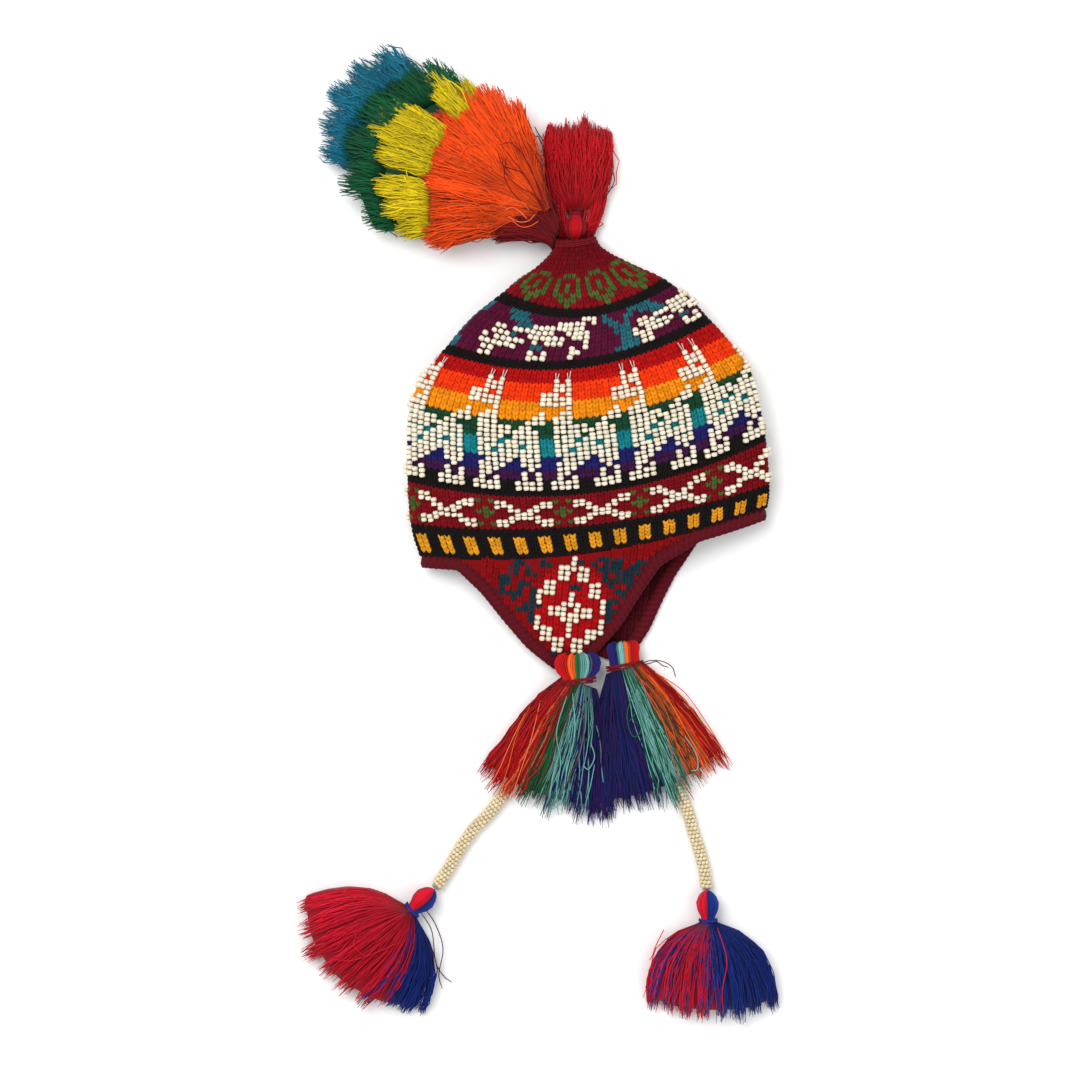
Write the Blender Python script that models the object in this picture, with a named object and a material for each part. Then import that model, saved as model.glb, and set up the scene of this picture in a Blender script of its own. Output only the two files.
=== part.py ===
"""A beaded Andean chullo lying on its side on a table: a knitted crown with two ear flaps, a crocheted
border, tied yarn tassels, two bead ropes with pompoms and a five-tier plume.

Metres, +Z up. X runs across the hat and +Y towards its crown. The table is z = 0.
"""

import math

import bmesh
import bpy
from mathutils import Matrix, Vector

# Crown
RIM_WIDTH = 0.237
CROWN_HEIGHT = 0.214
CROWN_THICKNESS = 0.046
KNIT_WALL = 0.003
RIM_CENTRE = Vector((0.034, -0.009))
CROWN_POINTS = 32

# Ear flaps
FLAP_WIDTH = 0.145
FLAP_LENGTH = 0.074
UPPER_FLAP_TIP_HEIGHT = 0.0076
FLAP_COLUMNS = 8
FLAP_FALL = 0.9

# Crocheted border round the rim and both flaps
BORDER_WIDTH = 0.0088
BORDER_THICKNESS = 0.0044
BORDER_SIDES = 8
BORDER_SQUARENESS = 0.6
LEAST_MITRE = 0.6
RIM_STATIONS = (0.0, 0.12, 0.40, 0.75)
RIM_STEP = 0.004

# Tassels, pompoms and the plume
UPPER_TASSEL_HEAD_LENGTH = 0.022
LOWER_TASSEL_HEAD_LENGTH = 0.012
UPPER_TASSEL_HEAD_WIDTH = 0.036
LOWER_TASSEL_HEAD_WIDTH = 0.027
FLAP_TASSEL_HEAD_HEIGHT = 0.009
FLAP_TASSEL_WAIST_HEIGHT = 0.0081
UPPER_TIE_DROP = 0.0169
LOWER_TIE_DROP = 0.0130
TIE_SHIFT = 0.0044
UPPER_TASSEL_WAIST = 0.023
LOWER_TASSEL_WAIST = 0.024
UPPER_TASSEL_FRINGE = 0.085
LOWER_TASSEL_FRINGE = 0.090
FLAP_TASSEL_THICKNESS = 0.021
FLAP_TASSEL_FLARE = 0.004
POMPOM_HEAD = 0.018
POMPOM_WAIST = 0.011
LEFT_POMPOM_FRINGE = 0.077
RIGHT_POMPOM_FRINGE = 0.062
POMPOM_THICKNESS = 0.031
POMPOM_FLARE = 0.021
KNOB_SIZE = 0.016
KNOB_WAIST = 0.009
CROWN_TASSEL_FRINGE = 0.062
CROWN_TASSEL_THICKNESS = 0.024
CROWN_TASSEL_FLARE = 0.015
PLUME_THICKNESS = 0.044
PLUME_TIP = 0.004

# Ties and bead ropes. A fringe starts to rise over a rope BESIDE_ROPE away and is clear of it at OVER_ROPE.
TIE_DIAMETER = 0.0028
TIE_SLACK = 0.0006
TIE_POINTS = 18
TIE_SIDES = 6
WAIST_LENGTH = TIE_DIAMETER * 1.3
ROPE_DIAMETER = 0.0092
BESIDE_ROPE = ROPE_DIAMETER * 2.10
OVER_ROPE = ROPE_DIAMETER * 1.40
POMPOM_BEND_ROOM = POMPOM_HEAD * 0.2

# Clearance between pieces that touch, and between the soft tiers of the plume
GAP = 0.0003
TIER_GAP = 0.0008

# The crown's sections from the rim to the top of the neck. x is a share of RIM_WIDTH and y and sag are
# shares of CROWN_HEIGHT, from the rim's centre; fold and top are shares of CROWN_THICKNESS. left and right
# are the folds at the sides, and sag is how far a row of knitting dips between them.
CROWN_SECTIONS = (
    # left_x, left_y, right_x, right_y, sag, fold, top
    (-0.486, -0.010, 0.506, 0.143, 0.063, 0.28, 0.60),
    (-0.511, 0.092, 0.511, 0.216, 0.067, 0.33, 0.76),
    (-0.520, 0.251, 0.497, 0.378, 0.108, 0.38, 0.91),
    (-0.514, 0.448, 0.460, 0.562, 0.114, 0.40, 1.00),
    (-0.471, 0.568, 0.405, 0.657, 0.108, 0.40, 0.99),
    (-0.405, 0.657, 0.328, 0.752, 0.102, 0.40, 0.95),
    (-0.336, 0.746, 0.282, 0.806, 0.092, 0.38, 0.86),
    (-0.247, 0.825, 0.210, 0.867, 0.079, 0.36, 0.74),
    (-0.204, 0.867, 0.144, 0.902, 0.058, 0.34, 0.66),
    (-0.152, 0.905, 0.078, 0.937, 0.035, 0.32, 0.57),
    (-0.106, 0.956, 0.028, 0.971, 0.012, 0.28, 0.49),
    (-0.095, 0.994, 0.012, 1.004, 0.006, 0.26, 0.46),
)
# How the upper side swells and how far the under side lies flat on the table.
UPPER_SWELL = 0.85
UNDER_FLAT = 1.25
UNDER_CURL = 0.6

# Where each flap's root starts and ends along the rim, as shares of the rim's width, and its edges below
# it. x is a share of FLAP_WIDTH from the upper flap's middle, and down a share of FLAP_LENGTH.
UPPER_FLAP_ROOT = (0.148, 0.742)
UPPER_FLAP_ROWS = (
    # left_x, left_down, right_x, right_down
    (-0.399, 0.284, 0.361, 0.030),
    (-0.296, 0.540, 0.277, 0.275),
    (-0.192, 0.780, 0.174, 0.600),
    (-0.075, 0.970, 0.045, 0.890),
)
LOWER_FLAP_ROOT = (0.229, 0.735)
LOWER_FLAP_ROWS = (
    # left_x, left_down, right_x, right_down
    (-0.239, 0.266, 0.432, 0.138),
    (-0.105, 0.510, 0.370, 0.376),
    (0.030, 0.740, 0.310, 0.640),
    (0.160, 0.870, 0.250, 0.820),
)

# Routes of the two bead ropes over the table, from the tie of their tassel to their pompom: offsets in
# metres from the tie.
LEFT_ROPE_ROUTE = (
    (-0.0045, -0.0040),
    (-0.0130, -0.0180),
    (-0.0255, -0.0370),
    (-0.0405, -0.0600),
    (-0.0585, -0.0856),
    (-0.0714, -0.0992),
    (-0.0809, -0.1128),
    (-0.0887, -0.1264),
    (-0.0975, -0.1395),
)
RIGHT_ROPE_ROUTE = (
    (0.0055, -0.0095),
    (0.0120, -0.0230),
    (0.0215, -0.0440),
    (0.0320, -0.0695),
    (0.0426, -0.0965),
    (0.0463, -0.1100),
    (0.0508, -0.1236),
    (0.0542, -0.1372),
    (0.0558, -0.1505),
)
ROPE_POINTS = 24
ROPE_RESOLUTION = 3

# A tied head from its free end to the waist: along is a share of its length, width and height of its size.
FLAT_HEAD = (
    # along, width, height
    (0.00, 0.50, 0.35),
    (0.16, 0.84, 0.80),
    (0.45, 1.00, 1.00),
    (0.78, 0.90, 0.94),
)
ROUND_HEAD = (
    # along, width, height
    (0.00, 0.34, 0.34),
    (0.14, 0.74, 0.74),
    (0.42, 1.00, 1.00),
    (0.70, 0.92, 0.92),
    (0.90, 0.66, 0.66),
)
# A fringe from the waist to its tips: along is a share of its length, flare of its side's swell and top of
# its thickness. drop is how far its under side has come down to the table, and flute how deep the valleys
# between its locks are.
FRINGE_ROWS = (
    # along, flare, top, drop, flute
    (0.08, 0.45, 0.80, 0.20, 0.10),
    (0.20, 0.80, 0.94, 0.55, 0.45),
    (0.40, 1.00, 1.00, 0.90, 0.80),
    (0.62, 1.00, 0.92, 1.00, 1.00),
    (0.82, 0.90, 0.70, 1.00, 1.00),
    (1.00, 0.70, 0.26, 1.00, 0.60),
)
FLUTE_DEPTH = 0.16
TIP_NOTCH = 0.10
TIER_FLUTE_DEPTH = FLUTE_DEPTH * 0.6
TIER_TIP_NOTCH = TIP_NOTCH * 0.3
EDGE_THINNESS = 0.35
LEAST_FRINGE = 0.0022
HEAD_RIM = 0.0002

# The yarn bundles: how many locks each shows, which way its head and its fringe point, in degrees from +X,
# and the angle between its outer strands. reach scales the fringe's length across, from its left side.
BUNDLES = {
    # name: (locks, head_heading, heading, spread, reach)
    "flap_tassel_upper": (9, 272.0, 250.0, 41.0, (1.04, 1.06, 1.06, 1.05, 1.02)),
    "flap_tassel_lower": (9, 276.0, 290.5, 41.0, (1.00, 1.05, 1.06, 1.07, 1.07)),
    "pompom_left": (8, 222.0, 222.0, 72.0, (0.68, 0.86, 0.96, 0.94, 0.83)),
    "pompom_right": (8, 272.0, 272.0, 50.0, (1.03, 1.08, 1.06, 1.03, 0.95)),
    "crown_tassel": (8, 88.0, 88.0, 12.0, (1.00, 0.94, 1.02, 0.98, 0.92)),
}

# The plume's tiers, from the knob outwards. Angles are in degrees from +X and radius in metres, from
# PLUME_ROOT, which is measured from the knob's foot. reach changes the radius across the tier.
PLUME_ROOT = (-0.0165, 0.0165)
PLUME_STEM = ((-0.0098, 0.0120), (-0.0157, -0.0085))
PLUME_TIERS = (
    # name, from_angle, to_angle, radius, reach, locks
    ("plume_red_tier", 112.0, 208.0, 0.036, (1.00, 1.00, 1.00, 1.10, 1.20), 6),
    ("plume_orange_tier", 106.0, 198.0, 0.091, (0.62, 1.00, 1.00, 1.00, 0.99), 9),
    ("plume_yellow_tier", 122.0, 191.0, 0.128, (0.80, 0.94, 1.02, 0.98, 0.85), 7),
    ("plume_green_tier", 126.0, 186.0, 0.147, (0.80, 0.98, 1.06, 1.00, 0.90), 7),
    ("plume_teal_tier", 133.0, 168.0, 0.170, (0.89, 0.98, 1.01, 0.99, 0.90), 6),
)
PLUME_RAMP = 0.024
TIER_LAP = 4.0 * TIER_GAP
# The plume's height over its radius, as shares of the last tier's radius and of PLUME_THICKNESS.
PLUME_PROFILE = (
    # along, height
    (0.00, 0.36),
    (0.14, 0.56),
    (0.34, 0.92),
    (0.50, 1.00),
    (0.75, 0.80),
    (0.90, 0.52),
    (1.00, 0.16),
)
TIER_TIP_THICKNESS = 0.0028
PLUME_STEPS = 7


def share_between(table, at, column):
    """The column's value at a share along a table whose first column rises."""
    for low, high in zip(table, table[1:]):
        if at <= high[0]:
            part = (at - low[0]) / (high[0] - low[0])
            return low[column] + (high[column] - low[column]) * max(part, 0.0)
    return table[-1][column]


def value_across(values, share):
    """One of a few evenly spaced values, or between two of them."""
    place = min(max(share, 0.0), 1.0) * (len(values) - 1)
    low = min(int(place), len(values) - 2)
    return values[low] + (values[low + 1] - values[low]) * (place - low)


def direction(degrees):
    return Vector((math.cos(math.radians(degrees)), math.sin(math.radians(degrees))))


def material(name, colour, roughness):
    made = bpy.data.materials.new(name)
    made.use_nodes = True
    shader = made.node_tree.nodes["Principled BSDF"]
    shader.inputs["Base Color"].default_value = (*colour, 1.0)
    shader.inputs["Roughness"].default_value = roughness
    shader.inputs["Metallic"].default_value = 0.0
    made.diffuse_color = (*colour, 1.0)
    return made


def finished(name, mesh_builder, surface):
    """The built mesh as an object with outward faces, smooth shading and its material."""
    bmesh.ops.recalc_face_normals(mesh_builder, faces=mesh_builder.faces)
    mesh = bpy.data.meshes.new(name)
    mesh_builder.to_mesh(mesh)
    mesh_builder.free()
    mesh.shade_smooth()
    mesh.materials.append(surface)
    made = bpy.data.objects.new(name, mesh)
    bpy.context.scene.collection.objects.link(made)
    return made


def skin(builder, first, second, closed):
    """Quads between two rows of vertices, and round the end where the rows are rings."""
    count = len(first)
    for i in range(count if closed else count - 1):
        after = (i + 1) % count
        builder.faces.new((first[i], first[after], second[after], second[i]))


def slab(name, top, bottom, surface):
    """A closed solid between two grids of points, its four sides walled."""
    builder = bmesh.new()
    upper = [[builder.verts.new(p) for p in row] for row in top]
    under = [[builder.verts.new(p) for p in row] for row in bottom]
    for grid in (upper, under):
        for first, second in zip(grid, grid[1:]):
            skin(builder, first, second, closed=False)
    skin(builder, upper[0], under[0], closed=False)
    skin(builder, upper[-1], under[-1], closed=False)
    for side in (0, -1):
        skin(builder, [row[side] for row in upper], [row[side] for row in under], closed=False)
    return finished(name, builder, surface)


def ring_solid(name, rings, surface):
    """A solid that runs through closed rings of points and meets its own start."""
    builder = bmesh.new()
    loops = [[builder.verts.new(p) for p in ring] for ring in rings]
    for first, second in zip(loops, loops[1:] + loops[:1]):
        skin(builder, first, second, closed=True)
    return finished(name, builder, surface)


def crown_point(section, turn, inset=0.0):
    """A point of a section. turn 0 is the left fold, 0.25 the middle of the upper side, 0.5 the right fold
    and 0.75 the middle of the under side. inset moves it in through the wall."""
    left_x, left_y, right_x, right_y, sag, fold, top = section
    left = RIM_CENTRE + Vector((left_x * RIM_WIDTH, left_y * CROWN_HEIGHT))
    right = RIM_CENTRE + Vector((right_x * RIM_WIDTH, right_y * CROWN_HEIGHT))
    along = (right - left).normalized() * inset
    left, right = left + along, right - along
    angle = math.tau * turn
    share = (1.0 - math.cos(angle)) / 2.0
    lift = abs(math.sin(angle))
    place = left.lerp(right, share)
    place.y -= sag * CROWN_HEIGHT * 4.0 * share * (1.0 - share)
    middle = fold * CROWN_THICKNESS
    if turn <= 0.5:
        height = middle + (top * CROWN_THICKNESS - inset - middle) * lift**UPPER_SWELL
    else:
        height = middle - (middle - inset) * min(1.0, UNDER_FLAT * lift) ** UNDER_CURL
    return Vector((place.x, place.y, height))


def crown_arc(section, upper, inset=0.0, closing=0.0):
    """A section's upper or under side from fold to fold, clear of the other side. closing brings it down to
    the line between the folds."""
    first = 0.0 if upper else 0.5
    folds = section[5] * CROWN_THICKNESS
    clear = GAP / 2.0 if upper else -GAP / 2.0
    arc = []
    for i in range(CROWN_POINTS // 2 + 1):
        point = crown_point(section, first + i / CROWN_POINTS, inset)
        rise = (point.z - folds) * (1.0 - closing)
        point.z = folds + (max(rise, clear) if upper else min(rise, clear))
        arc.append(point)
    return arc


def build_crown_side(name, upper, surface):
    """One side of the knitted wall, from the rim to the neck, where it closes. The two sides meet at the
    folds, so each stays a simple curved plate round the hollow."""
    neck, below = CROWN_SECTIONS[-1], CROWN_SECTIONS[-2]
    outer = [crown_arc(section, upper) for section in CROWN_SECTIONS]
    outer.append(crown_arc(neck, upper, closing=1.0))
    inner = [crown_arc(section, upper, KNIT_WALL) for section in CROWN_SECTIONS[:-1]]
    inner += [crown_arc(below, upper, KNIT_WALL, closing) for closing in (0.5, 1.0)]
    return slab(name, outer, inner, surface)


def rim_turn(share, upper):
    """The turn round the rim at a share of its width."""
    angle = math.acos(1.0 - 2.0 * share) / math.tau
    return angle if upper else 1.0 - angle


def rim_edge(share, upper):
    """The middle of the rim's wall."""
    turn = rim_turn(share, upper)
    outer = crown_point(CROWN_SECTIONS[0], turn)
    inner = crown_point(CROWN_SECTIONS[0], turn, KNIT_WALL)
    return (outer + inner) / 2.0


def flap_corner(x, down, height):
    middle = sum(UPPER_FLAP_ROOT) / 2.0
    root = rim_edge(middle, upper=True)
    return Vector((root.x + x * FLAP_WIDTH, root.y - down * FLAP_LENGTH, height))


def flap_rows(root, rows, upper):
    """The flap's middle surface: its root under the rim, then the rows of its table."""
    grid = []
    for row in range(len(rows) + 1):
        points = []
        for column in range(FLAP_COLUMNS + 1):
            share = column / FLAP_COLUMNS
            at_root = rim_edge(root[0] + (root[1] - root[0]) * share, upper)
            if row == 0:
                points.append(at_root - Vector((0.0, GAP, 0.0)))
                continue
            left_x, left_down, right_x, right_down = rows[row - 1]
            fall = (row / len(rows)) ** FLAP_FALL
            tip = UPPER_FLAP_TIP_HEIGHT if upper else KNIT_WALL / 2.0
            height = at_root.z + (tip - at_root.z) * fall
            left = flap_corner(left_x, left_down, height)
            right = flap_corner(right_x, right_down, height)
            points.append(left.lerp(right, share))
        grid.append(points)
    return grid


def build_flap(name, grid, surface):
    half = Vector((0.0, 0.0, KNIT_WALL / 2.0))
    top = [[p + half for p in row] for row in grid]
    bottom = [[p - half for p in row] for row in grid]
    return slab(name, top, bottom, surface)


def fabric_edge(upper_grid, lower_grid):
    """The fabric's edge once round, as (point, outward face normal): the upper side from left to right
    with its flap, the right fold, and the under side back."""
    edge = []
    for upper, grid, root in ((True, upper_grid, UPPER_FLAP_ROOT), (False, lower_grid, LOWER_FLAP_ROOT)):
        normal = Vector((0.0, 0.0, 1.0 if upper else -1.0))
        first, last = (0, -1) if upper else (-1, 0)
        near, far = (root[0], 1.0 - root[1]) if upper else (1.0 - root[1], root[0])
        rim_in = [near * station for station in RIM_STATIONS]
        rim_out = [far * station for station in reversed(RIM_STATIONS[1:])]
        if upper:
            edge += [rim_station(share, upper) for share in rim_in]
        else:
            edge += [rim_station(1.0 - share, upper) for share in rim_in]
        edge += [(row[first], normal) for row in grid[1:]]
        edge += [(grid[-1][FLAP_COLUMNS // 2], normal)]
        edge += [(row[last], normal) for row in reversed(grid[1:])]
        if upper:
            edge += [rim_station(1.0 - share, upper) for share in rim_out]
        else:
            edge += [rim_station(share, upper) for share in rim_out]
    return edge


def rim_station(share, upper):
    """The rim's edge there and the way its outer side faces."""
    turn = rim_turn(share, upper)
    outer = crown_point(CROWN_SECTIONS[0], turn)
    ahead = crown_point(CROWN_SECTIONS[0], min(turn + RIM_STEP, 1.0))
    behind = crown_point(CROWN_SECTIONS[0], max(turn - RIM_STEP, 0.0))
    along = (ahead - behind).normalized()
    normal = Vector((0.0, -1.0, 0.0)).cross(along).normalized()
    if share in (0.0, 1.0):
        normal = Vector((-1.0 if share == 0.0 else 1.0, 0.0, 0.0))
    return outer - normal * KNIT_WALL / 2.0, normal


def build_border(edge, surface):
    """A flat welt beside the fabric's edge, mitred at its corners."""
    rings = []
    half_width = BORDER_WIDTH / 2.0
    half_thickness = BORDER_THICKNESS / 2.0
    for i, (point, normal) in enumerate(edge):
        before = (point - edge[i - 1][0]).normalized()
        after = (edge[(i + 1) % len(edge)][0] - point).normalized()
        out_before = before.cross(normal).normalized()
        out_after = after.cross(normal).normalized()
        out = (out_before + out_after).normalized()
        mitre = 1.0 / max(LEAST_MITRE, out.dot(out_after))
        centre = point + out * mitre * (half_width + GAP)
        centre.z = max(centre.z, half_thickness)
        ring = []
        for side in range(BORDER_SIDES):
            angle = math.tau * side / BORDER_SIDES
            across = math.copysign(abs(math.cos(angle)) ** BORDER_SQUARENESS, math.cos(angle))
            through = math.copysign(abs(math.sin(angle)) ** BORDER_SQUARENESS, math.sin(angle))
            ring.append(centre + out * mitre * half_width * across + normal * half_thickness * through)
        rings.append(ring)
    return ring_solid("rim_border", rings, surface)


def head_rows(table, start, heading, length, width, height, middle, columns):
    """The rounded rows of a tied head, as (top, bottom) rows of points."""
    ahead, side = direction(heading), direction(heading - 90.0)
    rows = []
    for along, wide, high in table:
        top, bottom = [], []
        for column in range(columns + 1):
            across = -math.cos(math.pi * column / columns)
            place = start + ahead * along * length + side * across * wide * width / 2.0
            rise = math.sqrt(max(0.0, 1.0 - across * across)) * high * (height / 2.0 - HEAD_RIM) + HEAD_RIM
            top.append(Vector((*place, middle + rise)))
            bottom.append(Vector((*place, middle - rise)))
        rows.append((top, bottom))
    return rows


def fringe_rows(name, waist, length, width, flare, thickness, waist_low, rope=None):
    """A bundle's rows of ridged locks from the waist to its notched tips. rope is the route it lies over."""
    locks, _, heading, spread, reach = BUNDLES[name]
    columns = 2 * locks
    side = direction(heading - 90.0)
    rows = []
    for along, swell, high, drop, flute in FRINGE_ROWS:
        top, bottom = [], []
        for column in range(columns + 1):
            share = column / columns
            valley = 1.0 if column % 2 == 0 else 0.0
            across = 2.0 * share - 1.0
            strand = direction(heading - across * spread / 2.0)
            run = along * length * value_across(reach, share)
            run *= 1.0 - TIP_NOTCH * valley * along**3
            place = waist + side * across * (width / 2.0 + flare * swell) + strand * run
            fullness = (1.0 - abs(across) ** 3) * (1.0 - EDGE_THINNESS) + EDGE_THINNESS
            low = max(0.0, waist_low * (1.0 - drop))
            if rope is not None:
                low = max(low, over_rope(place, rope))
            high_at = thickness * high * fullness * (1.0 - FLUTE_DEPTH * flute * valley)
            high_at = max(high_at, low + LEAST_FRINGE)
            top.append(Vector((*place, high_at)))
            bottom.append(Vector((*place, low)))
        rows.append((top, bottom))
    return rows


def over_rope(place, rope):
    """How high a fringe's under side stays to clear the rope."""
    away = min(
        (place - a.lerp(b, max(0.0, min(1.0, (place - a).dot(b - a) / (b - a).length_squared)))).length
        for a, b in zip(rope, rope[1:])
    )
    share = max(0.0, min(1.0, (BESIDE_ROPE - away) / (BESIDE_ROPE - OVER_ROPE)))
    return share * (ROPE_DIAMETER + GAP)


def waist_rows(waist, heading, width, height, middle, columns):
    """Two equal rows a tie's width apart, where the tie sits."""
    table = ((-0.5, 1.0, 1.0), (0.5, 1.0, 1.0))
    return head_rows(table, waist, heading, WAIST_LENGTH, width, height, middle, columns)


def build_tassel(name, rows, surface):
    return slab(name, [top for top, _ in rows], [bottom for _, bottom in rows], surface)


def build_tie(name, waist, heading, width, height, middle, surface):
    """A round of yarn about a waist, clear of it all the way."""
    ahead, side = direction(heading), direction(heading - 90.0)
    radius = TIE_DIAMETER / 2.0
    reach = TIE_SLACK + radius
    rings = []
    for step in range(TIE_POINTS):
        angle = math.tau * step / TIE_POINTS
        outward = Vector((*(side * math.cos(angle)), math.sin(angle)))
        centre = Vector((*waist, middle))
        centre += Vector((*(side * math.cos(angle) * (width / 2.0 + reach)), 0.0))
        centre.z += math.sin(angle) * (height / 2.0 + reach)
        ring = []
        for turn in range(TIE_SIDES):
            tilt = math.tau * turn / TIE_SIDES
            forward = Vector((*(ahead * math.sin(tilt) * radius), 0.0))
            ring.append(centre + outward * math.cos(tilt) * radius + forward)
        rings.append(ring)
    return ring_solid(name, rings, surface)


def smooth_route(points, count):
    """Evenly spaced points on a smooth curve through the route's own points."""
    fine = []
    ends = [points[0] * 2 - points[1], *points, points[-1] * 2 - points[-2]]
    for a, b, c, d in zip(ends, ends[1:], ends[2:], ends[3:]):
        for step in range(12):
            t = step / 12
            fine.append(
                (2 * b + (c - a) * t + (2 * a - 5 * b + 4 * c - d) * t**2 + (3 * b - a - 3 * c + d) * t**3) / 2.0
            )
    fine.append(points[-1])
    lengths = [0.0]
    for a, b in zip(fine, fine[1:]):
        lengths.append(lengths[-1] + (b - a).length)
    spaced = []
    for step in range(count):
        target = lengths[-1] * step / (count - 1)
        i = max(1, next(k for k, length in enumerate(lengths) if length >= target - 1e-9))
        part = (target - lengths[i - 1]) / (lengths[i] - lengths[i - 1])
        spaced.append(fine[i - 1].lerp(fine[i], part))
    return spaced


def build_rope(name, route, surface):
    """A round rope of beads lying on the table."""
    curve = bpy.data.curves.new(name, "CURVE")
    curve.dimensions = "3D"
    curve.bevel_depth = ROPE_DIAMETER / 2.0
    curve.bevel_resolution = ROPE_RESOLUTION
    curve.use_fill_caps = True
    line = curve.splines.new("POLY")
    line.points.add(len(route) - 1)
    for point, place in zip(line.points, route):
        point.co = (place.x, place.y, ROPE_DIAMETER / 2.0, 1.0)
    curve.materials.append(surface)
    made = bpy.data.objects.new(name, curve)
    bpy.context.scene.collection.objects.link(made)
    return made


def route_from(start, offsets):
    return smooth_route([start + Vector(offset) for offset in offsets], ROPE_POINTS)


def heading_of(vector):
    return math.degrees(math.atan2(vector.y, vector.x))


def build_pompom(name, rope, length, surface, tie_surface):
    """A round head at the rope's end and a fringe that opens from its waist."""
    locks, heading = BUNDLES[name][:2]
    ahead = direction(heading)
    leaving = rope[-1] - rope[-2]
    bend = math.radians(abs(heading - heading_of(leaving) % 360.0))
    start = rope[-1] + leaving.normalized() * GAP + ahead * (GAP + POMPOM_BEND_ROOM * math.sin(bend))
    middle = POMPOM_HEAD / 2.0
    waist = start + ahead * (POMPOM_HEAD + WAIST_LENGTH / 2.0)
    rows = head_rows(ROUND_HEAD, start, heading, POMPOM_HEAD, POMPOM_HEAD, POMPOM_HEAD, middle, 2 * locks)
    rows += waist_rows(waist, heading, POMPOM_WAIST, POMPOM_WAIST, middle, 2 * locks)
    end = waist + ahead * TIE_DIAMETER
    waist_low = middle - POMPOM_WAIST / 2.0
    rows += fringe_rows(name, end, length, POMPOM_WAIST, POMPOM_FLARE, POMPOM_THICKNESS, waist_low)
    build_tassel(name, rows, surface)
    build_tie(name + "_tie", waist, heading, POMPOM_WAIST, POMPOM_WAIST, middle, tie_surface)


def build_flap_tassel(name, tip, drop, base, head, length, route, surfaces):
    """The yarn bundle over a flap's tip, its tie and its fringe. Gives its rope's route."""
    locks, heading = BUNDLES[name][:2]
    head_length, head_width, waist_width = head
    ahead = direction(heading)
    middle = base + FLAP_TASSEL_HEAD_HEIGHT / 2.0
    waist = tip.xy + Vector((TIE_SHIFT, -drop))
    start = waist - ahead * (head_length + WAIST_LENGTH / 2.0)
    high = FLAP_TASSEL_WAIST_HEIGHT
    rows = head_rows(
        FLAT_HEAD, start, heading, head_length, head_width, FLAP_TASSEL_HEAD_HEIGHT, middle, 2 * locks
    )
    rows += waist_rows(waist, heading, waist_width, high, middle, 2 * locks)
    end = waist + ahead * TIE_DIAMETER
    rope = route_from(end, route)
    waist_low = middle - high / 2.0
    rows += fringe_rows(
        name, end, length, waist_width, FLAP_TASSEL_FLARE, FLAP_TASSEL_THICKNESS, waist_low, rope
    )
    build_tassel(name, rows, surfaces["tassel"])
    build_tie(name + "_tie", waist, heading, waist_width, high, middle, surfaces["tie"])
    return rope


def build_crown_tassel(surfaces):
    """The knob on the crown's neck and the red brush above it. Gives the knob's foot."""
    locks, heading = BUNDLES["crown_tassel"][:2]
    ahead = direction(heading)
    neck = [crown_point(CROWN_SECTIONS[-1], i / CROWN_POINTS).xy for i in range(CROWN_POINTS)]
    start = sum(neck, Vector((0.0, 0.0))) / CROWN_POINTS + ahead * 2.0 * GAP
    centre = KNOB_SIZE / 2.0
    waist = start + ahead * (KNOB_SIZE + WAIST_LENGTH / 2.0)
    rows = head_rows(ROUND_HEAD, start, heading, KNOB_SIZE, KNOB_SIZE, KNOB_SIZE, centre, 2 * locks)
    rows += waist_rows(waist, heading, KNOB_WAIST, KNOB_WAIST, centre, 2 * locks)
    end = waist + ahead * TIE_DIAMETER
    rows += fringe_rows(
        "crown_tassel", end, CROWN_TASSEL_FRINGE, KNOB_WAIST, CROWN_TASSEL_FLARE, CROWN_TASSEL_THICKNESS,
        centre - KNOB_WAIST / 2.0,
    )
    build_tassel("crown_tassel", rows, surfaces["red"])
    build_tie("crown_tassel_tie", waist, heading, KNOB_WAIST, KNOB_WAIST, centre, surfaces["red"])
    return start


def plume_height(radius):
    return share_between(PLUME_PROFILE, radius / PLUME_TIERS[-1][3], 1) * PLUME_THICKNESS


def tier_tip(tier, angle):
    """How far the tier reaches there."""
    _, low_angle, high_angle, radius, reach, _ = tier
    return radius * value_across(reach, (angle - low_angle) / (high_angle - low_angle))


def tier_ramp(tier, angle, run):
    """How high the slanting under side of this tier's tips is, over the root of the next."""
    share = (run - (tier_tip(tier, angle) - PLUME_RAMP)) / PLUME_RAMP
    return min(max(share, 0.0), 1.0) * (plume_height(tier_tip(tier, angle)) - TIER_TIP_THICKNESS)


def tier_runs(tip, cover):
    """The distances of a tier's rows from the plume's root. cover is how far the tier before reaches."""
    if cover is None:
        return [tip * step / PLUME_STEPS for step in range(PLUME_STEPS + 1)]
    shown = cover + TIER_GAP
    steps = PLUME_STEPS - 2
    under = [cover - PLUME_RAMP + TIER_LAP, cover + TIER_GAP / 2.0]
    return under + [shown + (tip - shown) * step / steps for step in range(steps + 1)]


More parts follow.
